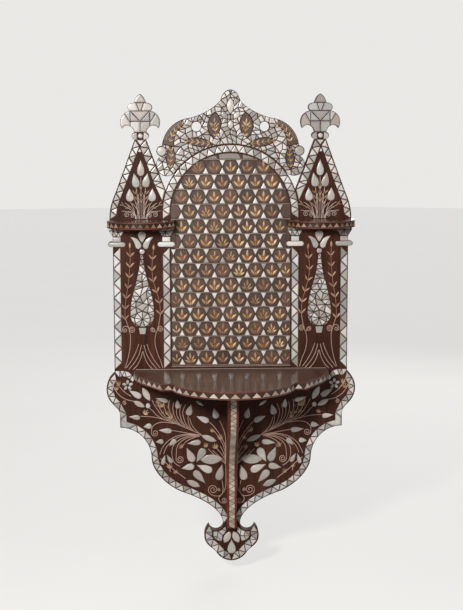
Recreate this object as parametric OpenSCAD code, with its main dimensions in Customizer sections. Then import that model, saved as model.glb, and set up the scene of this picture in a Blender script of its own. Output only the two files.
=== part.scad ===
// Wall-hung turban stand. Three planks make an inlaid back with an arched field, two spired towers,
// a crest and an apron that ends in a pendant. A lobed shelf stands out from it on a bracket, and a
// small gallery shelf crosses each tower. Shell, dark wood and wire are laid on the front.
// X runs to the right, Z up from the top of the main shelf, and the wall is the plane Y = 0.

/* [Planks] */
// Thickness of the three planks
board_t = 18; // [15:0.5:22]
// Width of the arched field between the inner columns
niche_w = 226; // [216:1:234]
// Height of the arch's springing line above the main shelf
spring_z = 296; // [290:1:300]
// Width of the shell columns and of the arch border
column_w = 15; // [13:0.5:17]
// Width of a tower panel between its two columns
panel_w = 77; // [72:1:82]

/* [Towers] */
// Width of a spire where it leaves its gallery shelf
spire_w = 118; // [112:1:122]
// Height of a spire up to its collar
spire_h = 148; // [140:1:156]
// Height of the curved foot of a spire
spire_foot_h = 53; // [46:1:60]
// Width of a spire's foot where its straight sides start
spire_foot_w = 92; // [88:1:100]
// Width of a spire under its collar
spire_top_w = 21; // [18:1:26]
// Width of a finial's collar
collar_w = 32; // [28:1:36]
// Height of a finial's collar
collar_h = 13; // [11:1:16]
// Width of a finial across its drooping arms
finial_w = 71; // [64:1:76]
// Height of a finial above its collar
finial_h = 70; // [62:1:76]
// Width of a finial's stem
finial_stem_w = 22; // [19:1:26]
// Width of the bud at a finial's tip
bud_w = 22; // [18:1:26]
// Height of the bud
bud_h = 16; // [12:1:20]
// Width of a finial between its lobes and its arms
lobe_gap_w = 39; // [34:1:42]
// Depth of that waist below the tip
lobe_gap_drop = 31; // [29:1:36]
// Width of a capital's ring
ring_w = 33; // [29:1:36]
// Height of a capital's ring
ring_h = 9; // [7:0.5:11]
// Height of a capital's neck
neck_h = 10; // [7:0.5:13]
// Height of a capital's block
block_h = 19; // [15:1:22]
// Width of a capital's block at its top
block_w = 29; // [25:1:32]

/* [Crest] */
// Height of the crest above the arch border
crest_h = 100; // [92:1:108]
// Half width of the crest at its rounded shoulders
shoulder_x = 76; // [70:1:82]
// Height of the shoulders above the arch border
shoulder_h = 48; // [44:1:54]
// Half width of the crest's tip where it springs from the ogee
tip_x = 19; // [15:1:24]
// Height of the tip itself
tip_h = 21; // [16:1:28]
// Angle of an ear above the springing line
ear_angle = 37; // [35:0.5:39]
// Radius of an ear
ear_r = 20; // [17:0.5:22]
// Radius of the boss on an ear
boss_r = 9.5; // [8:0.5:11]
// Distance between the hanging holes
hole_gap = 126; // [116:1:136]
// Height of the hanging holes above the arch's springing line
hole_rise = 160; // [156:0.5:162]
// Diameter of a hanging hole
hole_d = 18; // [12:0.5:20]

/* [Apron] */
// Radius of the lobe beside the shelf
lobe_r = 40; // [36:0.5:44]
// How far a lobe stands out past its tower
lobe_out = 16; // [12:0.5:20]
// Depth of a lobe's centre below the shelf top
lobe_drop = 37; // [34:0.5:42]
// How far the step under a lobe lies inside the tower's edge
step_in = 9; // [5:0.5:14]
// Depth of the step below the shelf top
step_drop = 111; // [104:1:118]
// Height of the step's straight side
step_h = 23; // [18:1:28]
// Width of the hollow curve under the step
cove_w = 59; // [54:1:64]
// Height of the hollow curve under the step
cove_h = 61; // [54:1:66]
// Half width of the apron where its belly turns
belly_x = 95; // [88:1:102]
// Depth of that turn below the shelf top
belly_drop = 238; // [230:1:246]
// Half width of the waist above the pendant
waist_x = 16; // [14:0.5:19]
// Depth of the waist below the shelf top
waist_drop = 302; // [296:1:308]
// Radius of the hook between waist and pendant
hook_r = 14; // [11:0.5:16]
// Width of the pendant
pendant_w = 106; // [98:1:114]
// Height of the pendant below the waist
pendant_h = 74; // [68:1:80]
// Width of the pendant's lower lobe
pendant_point_w = 60; // [52:1:68]
// Height of the pendant's lower lobe
pendant_point_h = 18; // [14:1:22]

/* [Main shelf] */
// Width of the shelf at the planks
shelf_w = 366; // [350:2:380]
// How far the shelf stands out from the planks
shelf_d = 211; // [200:1:222]
// Thickness of the shelf
shelf_t = 14; // [11:0.5:17]
// Radius of the shelf's round front
shelf_r = 116; // [110:1:122]
// Half width of the shelf at its shoulders
shelf_shoulder_x = 131; // [126:1:138]
// How far the shoulders stand out
shelf_shoulder_d = 128; // [120:1:136]
// Spacing of the inlaid teeth on the shelf's edge
tooth_pitch = 19; // [15:0.5:24]

/* [Gallery shelves] */
// Height of the gallery shelves' top faces
gallery_z = 285; // [281:1:289]
// Width of a gallery shelf
gallery_w = 124; // [116:1:128]
// How far a gallery shelf stands out
gallery_d = 70; // [62:1:80]
// How far its straight ends stand out
gallery_end_d = 28; // [22:1:34]
// Thickness of a gallery shelf
gallery_t = 13; // [10:0.5:15]
// Spacing of the inlaid teeth on a gallery shelf's edge
gallery_pitch = 12; // [9:0.5:15]

/* [Bracket] */
// Thickness of the bracket
bracket_t = 18; // [14:0.5:22]
// How far the bracket reaches out under the shelf
bracket_d = 130; // [115:1:145]
// Height of the bracket's straight nose
bracket_nose_h = 36; // [24:1:48]
// Depth of the break in its edge below the shelf top
bracket_break_drop = 206; // [196:1:216]
// How far the break stands out
bracket_break_d = 20; // [15:0.5:26]
// Depth of its foot below the shelf top
bracket_drop = 307; // [300:1:314]
// How far its foot stands out
bracket_foot_d = 16; // [12:0.5:20]
// Width of the shell strip on its edge
strip_w = 11; // [8:0.5:13]
// Spacing of the strip's triangles
strip_pitch = 11; // [8:0.5:15]

/* [Joinery] */
// Depth of the housings that take the shelves
housing_d = 5; // [3:0.5:7]
// Thickness of the bracket's tenons
tenon_t = 9; // [7:0.5:11]
// Length of the bracket's tenon into the planks
tenon_d = 9; // [6:0.5:10]
// Height of the bracket's tenon into the planks
tenon_h = 90; // [70:1:100]
// Depth of the top of that tenon below the shelf top
tenon_drop = 85; // [80:1:92]
// Height of the bracket's stub in the shelf
stub_h = 7; // [4:0.5:8]
// Length of the bracket's stub in the shelf
stub_l = 60; // [45:1:75]
// Diameter of the dowels in the plank seams
dowel_d = 8; // [6:0.5:9]
// Length of a dowel
dowel_l = 36; // [28:1:44]
// Width of a batten
batten_w = 40; // [34:1:44]
// Depth of a batten in the back
batten_t = 7; // [5:0.5:8]
// Height of the upper batten's middle
upper_batten_z = 225; // [221:1:229]
// Depth of the lower batten's middle below the shelf top
lower_batten_drop = 50; // [46:1:54]
// Diameter of the pegs through the battens
peg_d = 6; // [5:0.5:7]
// Length of a peg
peg_l = 14; // [11:0.5:14.5]
// Diameter of a nail
nail_d = 3; // [2.5:0.25:3.5]
// Diameter of a nail's head
nail_head_d = 7; // [6:0.25:8]
// Thickness of a nail's head
nail_head_t = 1.2; // [1:0.1:1.6]
// How far a nail goes into what it holds
nail_bite = 20; // [14:1:22]
// Gap around everything that is let in
fit_gap = 0.1; // [0.05:0.05:0.2]

/* [Inlay] */
// Thickness of the inlay on the front
inlay_t = 0.8; // [0.6:0.1:1.2]
// Width of the dark lines between pieces of shell
line_w = 1; // [0.6:0.1:1.4]
// Width of the shell border along the apron and the spires
border_w = 13; // [10:0.5:15]
// Width of the shell border on the inner side of a spire
small_border_w = 15.5; // [12:0.5:16.5]
// Width of the shell border on the pendant
pendant_border_w = 15; // [12:0.5:17]
// Length of one zigzag on a column
column_pitch = 28; // [22:1:34]
// Length of one zigzag on the borders
border_pitch = 17; // [13:0.5:21]
// Length of one zigzag on the pendant
pendant_pitch = 17; // [14:0.5:20]
// Spacing of the roundels along a row
roundel_pitch = 30.7; // [28:0.1:33]
// Height of one row of roundels, which is fitted to whole rows
row_h = 27.6; // [26:0.1:30]
// Height of the bare wood between the top row and the arch border
crown_gap = 13; // [10:0.5:16]
// Base of the shell triangles between roundels
triangle_w = 12.5; // [10:0.5:14]
// Height of the field's lower edge above the shelf
field_base = 8; // [5:0.5:12]
// Width of the wires between the rows
wire_w = 0.8; // [0.6:0.1:1.2]
// Margin of bare wood outside the borders
margin = 1; // [0.5:0.25:2]

/* [Figures] */
// Height of the shell vase in a tower panel
vase_h = 138; // [126:1:146]
// Width of the vase
vase_w = 46; // [40:1:52]
// Height of the tulip over the vase
tulip_h = 39; // [34:1:44]
// Gap between the tulip and the gallery shelf
tulip_gap = 13; // [8:0.5:18]
// Length of a leaf on the apron
leaf_l = 24; // [21:0.5:27]

/* [Hidden] */
$fn = 48;
niche_r = niche_w / 2;
arch_r = niche_r + column_w;
seam_x = niche_r + column_w / 2;
tower_x = arch_r + panel_w / 2;
edge_x = arch_r + panel_w + column_w;
inner_x = seam_x;
outer_x = edge_x - column_w / 2;
arch_top = spring_z + arch_r;
spire_z = gallery_z + spire_h;
under_gallery = gallery_z - gallery_t;
ring_z = under_gallery - block_h - neck_h - ring_h / 2;
face = board_t + inlay_t;
hole_z = spring_z + hole_rise;
ear = [0, spring_z] + (arch_r + ear_r) * [cos(ear_angle), sin(ear_angle)];
boss_lean = 70;
run_out_angle = 10;
corner_top = 9.5;
corner_foot = 20;
boss_sink = 1.5;
boss = ear + (ear_r + boss_r - boss_sink) * [cos(boss_lean), sin(boss_lean)];
lobe = [edge_x + lobe_out - lobe_r, -lobe_drop];
step_x = edge_x - step_in;
hook = [waist_x + hook_r, -waist_drop];
pendant_z = -waist_drop - pendant_h;
dowel_zs = [-165, -105, 45, 105, 165, spring_z + 20];
shelf_nail_xs = [-150, -62, 62, 150];
gallery_nail_x = 22;
bracket_nail_zs = [-tenon_drop - tenon_h / 2, -248];
peg_xs = [-tower_x, 0, tower_x];
bore_gap = 0.05;
// Outlines that join overlap by this much
lap = 2;
far = 1000;

// Curves and paths, as lists of [across, up] points

function bend(a, b, c, d, n = 12) = [for (i = [0:n]) let (t = i / n, u = 1 - t)
    u * u * u * a + 3 * u * u * t * b + 3 * u * t * t * c + t * t * t * d];
function arc(c, r, from, to, n = 20) = [for (i = [0:n]) let (a = from + (to - from) * i / n)
    c + r * [cos(a), sin(a)]];
function flip(path) = [for (i = [len(path) - 1:-1:0]) [-path[i].x, path[i].y]];
function back(path) = [for (i = [len(path) - 1:-1:0]) path[i]];
function shift(path, d) = [for (p = path) p + d];
function marks(path) = [for (i = 0, s = 0; i < len(path);
    s = s + (i + 1 < len(path) ? norm(path[i + 1] - path[i]) : 0), i = i + 1) s];

// A course is a path that can be asked for the point and the left-hand normal at a length along it
function course(path) = let (m = marks(path), last = len(path) - 1)
    [[for (i = [0:last]) [m[i], path[i].x]], [for (i = [0:last]) [m[i], path[i].y]], m[last]];
function spot(c, s) = [lookup(s, c[0]), lookup(s, c[1])];
function heading(c, s) = let (d = spot(c, min(s + 1, c[2])) - spot(c, max(s - 1, 0))) d / norm(d);
function left_of(v) = [-v.y, v.x];

// Triangles that zigzag along a path between two distances to its left
function zigzag(path, near, far_side, pitch) = let (c = course(path),
    n = max(2, round(2 * c[2] / pitch)), step = c[2] / n)
    [for (k = [0:n - 2]) [for (j = [k:k + 2])
        spot(c, j * step) + left_of(heading(c, j * step)) * (j % 2 == 0 ? near : far_side)]];

// A triangle drawn in by half a line's width on each side
function drawn_in(t) = let (la = norm(t[1] - t[2]), lb = norm(t[2] - t[0]), lc = norm(t[0] - t[1]),
    whole = la + lb + lc, middle = (la * t[0] + lb * t[1] + lc * t[2]) / whole,
    area = abs((t[1].x - t[0].x) * (t[2].y - t[0].y) - (t[2].x - t[0].x) * (t[1].y - t[0].y)) / 2,
    keep = 1 - line_w / 2 / (2 * area / whole))
    [for (p = t) middle + (p - middle) * keep];

// Outlines of the right half

spire_half = concat([[spire_w / 2, gallery_z]], bend([spire_w / 2, gallery_z],
    [spire_w / 2, gallery_z + spire_foot_h * 0.45],
    [spire_foot_w / 2 + 6, gallery_z + spire_foot_h - 14],
    [spire_foot_w / 2, gallery_z + spire_foot_h]), [[spire_top_w / 2, spire_z]]);

finial_z = spire_z + collar_h;
finial_top = finial_z + finial_h;
finial_arm = [finial_w / 2 - 2, finial_z + 7];
lobe_gap = [lobe_gap_w / 2, finial_top - lobe_gap_drop];
finial_half = concat(
    bend([0, finial_top], [bud_w / 4, finial_top - bud_h / 6], [0.43 * bud_w, finial_top - 0.56 * bud_h],
        [bud_w / 2, finial_top - bud_h], 6),
    bend([bud_w / 2, finial_top - bud_h], [lobe_gap.x + 3, finial_top - bud_h],
        [lobe_gap.x + 6, lobe_gap.y + 5], lobe_gap, 8),
    bend(lobe_gap, [finial_w / 2 + 4, lobe_gap.y - 5], [finial_w / 2 + 3, finial_z + 14], finial_arm, 10),
    bend(finial_arm, finial_arm + [-6, 10], [finial_stem_w / 2 + 2, finial_z + 13],
        [finial_stem_w / 2, finial_z], 8),
    [[finial_stem_w / 2, finial_z - lap]]);

crest_half = concat(
    bend(boss, [boss.x, boss.y + 36], [shoulder_x + 27, arch_top + shoulder_h - 3],
        [shoulder_x, arch_top + shoulder_h]),
    bend([shoulder_x, arch_top + shoulder_h], [shoulder_x - 21, arch_top + shoulder_h + 4],
        [tip_x + 11, arch_top + crest_h - tip_h - 13], [tip_x, arch_top + crest_h - tip_h]),
    bend([tip_x, arch_top + crest_h - tip_h], [tip_x - 4, arch_top + crest_h - tip_h + 8],
        [tip_x - 5, arch_top + crest_h - 2], [0, arch_top + crest_h], 8));

lobe_end = -42;
step_tip = [step_x, -step_drop];
cove_tip = [step_x - cove_w, -step_drop - cove_h];
quarter = 0.55;
lobe_path = concat(
    arc(lobe, lobe_r, acos((edge_x - lobe.x) / lobe_r), lobe_end),
    bend(lobe + lobe_r * [cos(lobe_end), sin(lobe_end)],
        lobe + lobe_r * [cos(lobe_end), sin(lobe_end)] - lobe_r / 3 * [-sin(lobe_end), cos(lobe_end)],
        [step_x, -step_drop + 1.5 * step_h], [step_x, -step_drop + step_h], 8),
    [step_tip]);
belly_path = concat(
    bend(step_tip, step_tip - [cove_w * quarter, 0], cove_tip + [0, cove_h * quarter], cove_tip),
    bend(cove_tip, cove_tip - [0, 0.4 * cove_h], [1.3 * belly_x, -0.95 * belly_drop],
        [belly_x, -belly_drop]),
    bend([belly_x, -belly_drop], [0.68 * belly_x, -1.042 * belly_drop], [waist_x, -0.9 * waist_drop],
        [waist_x, -waist_drop]));
hook_path = arc(hook, hook_r, 180, 350, 16);
hook_end = hook + hook_r * [cos(350), sin(350)];
pendant_side = [0.425 * pendant_w, hook_end.y - 0.54 * pendant_h];
pendant_point = [pendant_point_w / 2, pendant_z + pendant_point_h];
pendant_path = concat(
    bend(hook_end, [pendant_w / 2, hook_end.y - 0.11 * pendant_h],
        [0.54 * pendant_w, hook_end.y - 0.38 * pendant_h], pendant_side, 8),
    bend(pendant_side, pendant_side - 0.08 * pendant_h * [1, 1], pendant_point + pendant_h * [0.03, 0.05],
        pendant_point, 4),
    bend(pendant_point, pendant_point - pendant_h * [0.08, 0.15], [pendant_point.x * 0.4, pendant_z],
        [0, pendant_z], 8));
apron_half = concat([[edge_x, lap]], lobe_path, belly_path, hook_path, pendant_path);

shelf_front = shelf_d - shelf_r;
shelf_turn = acos((shelf_shoulder_d - shelf_front) / shelf_r);
shelf_half = concat([[shelf_w / 2, 0]],
    bend([shelf_w / 2, 12], [shelf_w / 2, 55], [shelf_shoulder_x + 22, shelf_shoulder_d - 40],
        [shelf_shoulder_x, shelf_shoulder_d]),
    arc([0, shelf_front], shelf_r, 90 - shelf_turn, 90, 24));
shelf_path = concat(shelf_half, flip(shelf_half));

gallery_sag = gallery_d - gallery_end_d;
gallery_r = (pow(gallery_w / 2, 2) + pow(gallery_sag, 2)) / (2 * gallery_sag);
gallery_turn = asin(gallery_w / 2 / gallery_r);
gallery_path = concat([[gallery_w / 2, 0]],
    arc([0, gallery_d - gallery_r], gallery_r, 90 - gallery_turn, 90 + gallery_turn, 28),
    [[-gallery_w / 2, 0]]);

bracket_edge = concat([[bracket_d, -shelf_t]],
    bend([bracket_d, -shelf_t - bracket_nose_h], [bracket_d, -shelf_t - bracket_nose_h - 70],
        [bracket_break_d, -bracket_break_drop + 66], [bracket_break_d, -bracket_break_drop], 20),
    bend([bracket_break_d, -bracket_break_drop], [bracket_break_d + 14, -bracket_break_drop - 16],
        [bracket_break_d + 14, -bracket_drop + 45], [bracket_foot_d, -bracket_drop], 10));

// Building blocks

// Extrudes a drawing of the front, between two depths from the wall
module slab(from, to) {
    translate([0, -from, 0]) rotate([90, 0, 0]) linear_extrude(to - from) children();
}
module inlay() { slab(board_t, face) children(); }
module both_sides() {
    children();
    mirror([1, 0, 0]) children();
}
module triangles(list) {
    for (t = list) inlay() polygon(drawn_in(t));
}
// A pointed petal that stands upright
module petal(length, width) {
    r = (length * length + width * width) / (4 * width);
    intersection() {
        translate([r - width / 2, 0]) circle(r);
        translate([width / 2 - r, 0]) circle(r);
    }
}
// A drop with its tip up and a round foot
module drop(length, width) {
    polygon([for (a = [0:15:345])
        [-0.712 * width * sin(a) * pow(sin(a / 2), 1.5), length / 2 * cos(a)]]);
}
// Petals given as [x, z, length, width, turn], with a sixth value of 1 for a round foot
module petals(list) {
    for (p = list) inlay() translate([p[0], p[1]]) rotate(p[4])
        if (p[5] == 1) drop(p[2], p[3]); else petal(p[2], p[3]);
}
module nail(x, z, reach, gap = 0) {
    translate([x, 0, z]) rotate([90, 0, 0]) {
        translate([0, 0, gap > 0 ? -1 : 0]) cylinder(d = nail_head_d + 2 * gap,
            h = nail_head_t + (gap > 0 ? 1 + gap : 0));
        cylinder(d = nail_d + 2 * gap, h = reach + gap);
    }
}
module crossbar(x, y, z, length, d) {
    translate([x - length / 2, y, z]) rotate([0, 90, 0]) cylinder(d = d, h = length);
}
module block(low, high) { translate(low) cube(high - low); }

// Outlines of the planks, which all run anticlockwise so that they join

module spire_outline() { translate([tower_x, 0]) polygon(concat(spire_half, flip(spire_half))); }
module collar_outline() {
    reach = collar_w / 2 - collar_h / 2;
    translate([tower_x - reach, spire_z]) square([2 * reach, collar_h]);
    for (s = [-1, 1]) translate([tower_x + s * reach, spire_z + collar_h / 2]) circle(collar_h / 2);
}
module finial_outline() { translate([tower_x, 0]) polygon(back(concat(finial_half, flip(finial_half)))); }
module ring_outline(x) {
    reach = ring_w / 2 - ring_h / 2;
    translate([x - reach, ring_z - ring_h / 2]) square([2 * reach, ring_h]);
    for (s = [-1, 1]) translate([x + s * reach, ring_z]) circle(ring_h / 2);
}
module block_outline(x) {
    translate([x, under_gallery - block_h]) polygon([[-column_w / 2, 0], [column_w / 2, 0],
        [block_w / 2, block_h * 0.6], [block_w / 2, block_h], [-block_w / 2, block_h],
        [-block_w / 2, block_h * 0.6]]);
}
module apron_outline() { polygon(back(concat(apron_half, flip(apron_half)))); }
module tower_outline() {
    intersection() {
        union() {
            translate([seam_x, 0]) square([edge_x - seam_x, gallery_z]);
            spire_outline();
            collar_outline();
            finial_outline();
            ring_outline(outer_x);
            block_outline(outer_x);
            apron_outline();
        }
        translate([seam_x, -far]) square([far, 2 * far]);
    }
}
module crest_outline() {
    polygon(concat([[0, spring_z], ear], crest_half, flip(crest_half), [[-ear.x, ear.y]]));
    both_sides() {
        translate(ear) circle(ear_r);
        translate(boss) circle(boss_r);
    }
}
module centre_outline() {
    difference() {
        union() {
            translate([-seam_x, 0]) square([2 * seam_x, spring_z]);
            translate([0, spring_z]) circle(arch_r, $fn = 96);
            crest_outline();
            intersection() {
                apron_outline();
                translate([-seam_x, -far]) square([2 * seam_x, 2 * far]);
            }
        }
        both_sides() tower_outline();
        both_sides() translate([seam_x, 0]) square([far, spring_z + 1]);
    }
}
// The field stops short of the capitals that stand into it
module field_outline() {
    r = niche_r - margin;
    difference() {
        union() {
            translate([-r, field_base]) square([2 * r, spring_z - field_base]);
            translate([0, spring_z]) circle(r, $fn = 96);
        }
        both_sides() translate([inner_x - ring_w / 2 - line_w, ring_z - ring_h / 2 - line_w])
            square([ring_w, under_gallery - ring_z + ring_h / 2 + line_w]);
    }
}

// What is cut out of the planks for the joints

module shelf_housing() {
    block([-shelf_w / 2 - fit_gap, -board_t - 1, -shelf_t - fit_gap],
        [shelf_w / 2 + fit_gap, -board_t + housing_d + fit_gap, fit_gap]);
}
module gallery_housing() {
    reach = panel_w / 2 - margin;
    block([tower_x - reach - fit_gap, -board_t - 1, under_gallery - fit_gap],
        [tower_x + reach + fit_gap, -board_t + housing_d + fit_gap, gallery_z + fit_gap]);
}
module batten_recess(z) {
    block([-outer_x - fit_gap, -batten_t - fit_gap, z - batten_w / 2 - fit_gap],
        [outer_x + fit_gap, 1, z + batten_w / 2 + fit_gap]);
}
module joint_cuts() {
    shelf_housing();
    both_sides() gallery_housing();
    batten_recess(upper_batten_z);
    batten_recess(-lower_batten_drop);
    both_sides() for (z = dowel_zs) crossbar(seam_x, -board_t / 2, z, dowel_l + 2 * fit_gap,
        dowel_d + 2 * bore_gap);
    for (x = peg_xs, z = [upper_batten_z, -lower_batten_drop]) translate([x, 0, z]) rotate([90, 0, 0])
        cylinder(d = peg_d + 2 * bore_gap, h = peg_l + fit_gap);
    for (x = shelf_nail_xs) nail(x, -shelf_t / 2, board_t, bore_gap);
    both_sides() for (s = [-1, 1])
        nail(tower_x + s * gallery_nail_x, gallery_z - gallery_t / 2, board_t, bore_gap);
    for (z = bracket_nail_zs) nail(0, z, board_t, bore_gap);
}

// The carcass

module centre_plank() {
    color("saddlebrown") difference() {
        slab(0, board_t) centre_outline();
        joint_cuts();
        block([-tenon_t / 2 - fit_gap, -board_t - 1, -tenon_drop - tenon_h - fit_gap],
            [tenon_t / 2 + fit_gap, -board_t + tenon_d + fit_gap, -tenon_drop + fit_gap]);
        both_sides() translate([hole_gap / 2, 1, hole_z]) rotate([90, 0, 0])
            cylinder(d = hole_d, h = board_t + 2);
    }
}
module side_plank() {
    color("saddlebrown") difference() {
        slab(0, board_t) tower_outline();
        joint_cuts();
    }
}
module right_plank() { side_plank(); }
module left_plank() { mirror([1, 0, 0]) side_plank(); }
module seam_dowels() {
    color("burlywood") both_sides() for (z = dowel_zs)
        crossbar(seam_x, -board_t / 2, z, dowel_l, dowel_d);
}
module batten(z) {
    color("peru") difference() {
        block([-outer_x, -batten_t, z - batten_w / 2], [outer_x, 0, z + batten_w / 2]);
        for (x = peg_xs) translate([x, 1, z]) rotate([90, 0, 0])
            cylinder(d = peg_d + 2 * bore_gap, h = batten_t + 2);
    }
}
module upper_batten() { batten(upper_batten_z); }
module lower_batten() { batten(-lower_batten_drop); }
module batten_pegs() {
    color("burlywood") for (x = peg_xs, z = [upper_batten_z, -lower_batten_drop])
        translate([x, 0, z]) rotate([90, 0, 0]) cylinder(d = peg_d, h = peg_l);
}
module main_shelf() {
    color("sienna") difference() {
        union() {
            translate([0, -board_t, -shelf_t]) mirror([0, 1, 0]) linear_extrude(shelf_t) polygon(shelf_path);
            block([-shelf_w / 2, -board_t - 1, -shelf_t], [shelf_w / 2, -board_t + housing_d, 0]);
        }
        for (x = shelf_nail_xs) nail(x, -shelf_t / 2, board_t + nail_bite, bore_gap);
        bracket_stub(fit_gap);
    }
}
module shelf_nails() {
    color("dimgray") for (x = shelf_nail_xs) nail(x, -shelf_t / 2, board_t + nail_bite);
}
module bracket_stub(gap = 0) {
    start = board_t + (bracket_d - stub_l) / 2;
    block([-tenon_t / 2 - gap, -start - stub_l - gap, -shelf_t - 1],
        [tenon_t / 2 + gap, -start + gap, -shelf_t + stub_h + gap]);
}
module bracket() {
    color("sienna") difference() {
        union() {
            translate([-bracket_t / 2, -board_t, 0]) rotate([90, 0, -90]) mirror([0, 0, 1])
                linear_extrude(bracket_t)
                polygon(concat([[0, -shelf_t]], bracket_edge, [[0, -bracket_drop]]));
            bracket_stub();
            block([-tenon_t / 2, -board_t - 1, -tenon_drop - tenon_h],
                [tenon_t / 2, -board_t + tenon_d, -tenon_drop]);
        }
        for (z = bracket_nail_zs) nail(0, z, board_t + nail_bite, bore_gap);
    }
}
module bracket_nails() {
    color("dimgray") for (z = bracket_nail_zs) nail(0, z, board_t + nail_bite);
}
module gallery_shelf() {
    reach = panel_w / 2 - margin;
    color("sienna") difference() {
        union() {
            translate([tower_x, -face, under_gallery]) mirror([0, 1, 0])
                linear_extrude(gallery_t) polygon(gallery_path);
            block([tower_x - reach, -face - 1, under_gallery],
                [tower_x + reach, -board_t + housing_d, gallery_z]);
        }
        for (s = [-1, 1]) nail(tower_x + s * gallery_nail_x, gallery_z - gallery_t / 2,
            board_t + nail_bite, bore_gap);
    }
}
module right_gallery_shelf() { gallery_shelf(); }
module left_gallery_shelf() { mirror([1, 0, 0]) gallery_shelf(); }
module gallery_nails() {
    color("dimgray") both_sides() for (s = [-1, 1])
        nail(tower_x + s * gallery_nail_x, gallery_z - gallery_t / 2, board_t + nail_bite);
}

// The arched field: rows of roundels between shell triangles and wires

rows_z = field_base + margin;
rows_h = spring_z + niche_r - crown_gap - rows_z;
row_count = round(rows_h / row_h);
row_step = rows_h / row_count;
function row_z(row) = rows_z + (row + 0.5) * row_step;
function in_field(p, inset) = p.y > field_base + inset && abs(p.x) < niche_r - inset
    && (p.y < spring_z || norm(p - [0, spring_z]) < niche_r - inset);
function row_xs(row, between) = let (odd = (row_count - row) % 2 == 0 ? 0.5 : 0,
    half = between ? 0.5 : 0, n = ceil(niche_r / roundel_pitch))
    [for (i = [-n:n]) (i + odd + half) * roundel_pitch];
triangle_h = row_step / 2 - wire_w / 2;
module roundel() {
    reach = roundel_pitch / 2 - line_w / 2;
    top = row_step / 2 - wire_w - line_w / 4;
    flat = (roundel_pitch - triangle_w) / 2 - line_w / 2;
    polygon([[reach, 0], [flat, top], [-flat, top], [-reach, 0], [-flat, -top], [flat, -top]]);
}
module lattice_roundels() {
    color("#4a2c22") inlay() intersection() {
        field_outline();
        for (row = [0:row_count - 1], x = row_xs(row, false))
            if (in_field([x, row_z(row)], margin + 4)) translate([x, row_z(row)]) roundel();
    }
}
module lattice_triangles() {
    color("gainsboro") for (row = [0:row_count - 1], x = row_xs(row, true), s = [-1, 1]) {
        corner = [[x, row_z(row)], [x - triangle_w / 2, row_z(row) + s * triangle_h],
            [x + triangle_w / 2, row_z(row) + s * triangle_h]];
        if (in_field(corner[0], margin) && in_field(corner[1], margin) && in_field(corner[2], margin))
            inlay() polygon(drawn_in(corner));
    }
}
module lattice_wires() {
    color("silver") for (row = [0:row_count]) {
        z = row_z(row) - row_step / 2;
        rise = max(0, z - spring_z);
        beside_capital = z > ring_z - ring_h && z < under_gallery;
        clear = beside_capital ? inner_x - ring_w / 2 - margin : niche_r - margin - line_w;
        reach = min(clear, sqrt(max(0, pow(niche_r - margin, 2) - rise * rise)) - line_w);
        if (reach > roundel_pitch) inlay() translate([-reach, z - wire_w / 2]) square([2 * reach, wire_w]);
    }
}

// Shell borders

arch_path = concat([[arch_r, gallery_z + margin], [arch_r, spring_z]],
    arc([0, spring_z], arch_r, 3, 177, 60), [[-arch_r, spring_z], [-arch_r, gallery_z + margin]]);
module arch_border() {
    color("gainsboro") triangles(zigzag(arch_path, margin, column_w - margin / 2, border_pitch));
}
module column(x) {
    color("gainsboro") triangles(zigzag([[x + column_w / 2, margin], [x + column_w / 2,
        ring_z - ring_h / 2]], line_w / 2, column_w - line_w / 2, column_pitch));
}
module right_inner_column() { column(inner_x); }
module right_outer_column() { column(outer_x); }
module left_inner_column() { mirror([1, 0, 0]) column(inner_x); }
module left_outer_column() { mirror([1, 0, 0]) column(outer_x); }
module capitals() {
    shave = line_w / 2;
    color("whitesmoke") for (x = [inner_x, outer_x]) {
        inlay() ring_outline(x);
        inlay() translate([x - column_w / 2, ring_z + ring_h / 2 + shave])
            square([column_w, neck_h - 2 * shave]);
        inlay() block_outline(x);
    }
}
module right_capitals() { capitals(); }
module left_capitals() { mirror([1, 0, 0]) capitals(); }

spire_outer = shift(spire_half, [tower_x, 0]);
// The inner side starts where it leaves the arch border
spire_start = spring_z + sqrt(arch_r * arch_r - seam_x * seam_x) + column_w;
spire_inner = [for (p = flip(spire_half)) if (p.y > spire_start) p + [tower_x, 0]];
spire_low = [tower_x - spire_foot_w / 2 + (spire_foot_w - spire_top_w) / 2
    * (spire_start - gallery_z - spire_foot_h) / (spire_h - spire_foot_h), spire_start];
spire_inside = [spire_inner[0], spire_low];
// Below that a few triangles run it out against the arch border, under the waist notch
spire_len = norm(spire_low - spire_inner[0]);
spire_down = (spire_low - spire_inner[0]) / spire_len;
spire_side = left_of(spire_down);
spire_n = max(2, round(2 * spire_len / border_pitch));
band_last = spire_low - spire_down * spire_len / spire_n
    + spire_side * (spire_n % 2 == 0 ? small_border_w : margin);
band_near = spire_low + margin * spire_side;
band_end = spire_low + small_border_w * spire_side;
notch = [seam_x + margin, spring_z + sqrt(arch_r * arch_r - seam_x * seam_x) + margin];
run_out = [0, spring_z] + (arch_r + margin) * [cos(run_out_angle), sin(run_out_angle)];
// The corner between the two bands at the top, given by how far it lies below the collar
function corner_in(fall) = spire_inner[0] + fall * spire_down + small_border_w * spire_side;
function corner_out(fall) = [tower_x + spire_top_w / 2, spire_z]
    + fall * [-spire_down.x, spire_down.y] + border_w * [-spire_side.x, spire_side.y];
spire_corner = [(corner_in(corner_top) + corner_out(corner_top)) / 2, corner_in(corner_foot),
    corner_out(corner_foot)];
cap_x = spire_top_w / 2 - margin - line_w;
module spire_border() {
    color("gainsboro") {
        triangles(zigzag(spire_outer, margin, border_w, border_pitch));
        triangles(zigzag(spire_inside, margin, small_border_w, border_pitch));
        triangles([[band_last, band_end, band_near], [band_near, band_end, notch],
            [band_end, run_out, notch], spire_corner]);
        triangles([[[tower_x - cap_x, spire_z - margin / 2], [tower_x, spire_z - 0.75 * small_border_w],
            [tower_x + cap_x, spire_z - margin / 2]]]);
    }
}
module right_spire_border() { spire_border(); }
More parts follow.
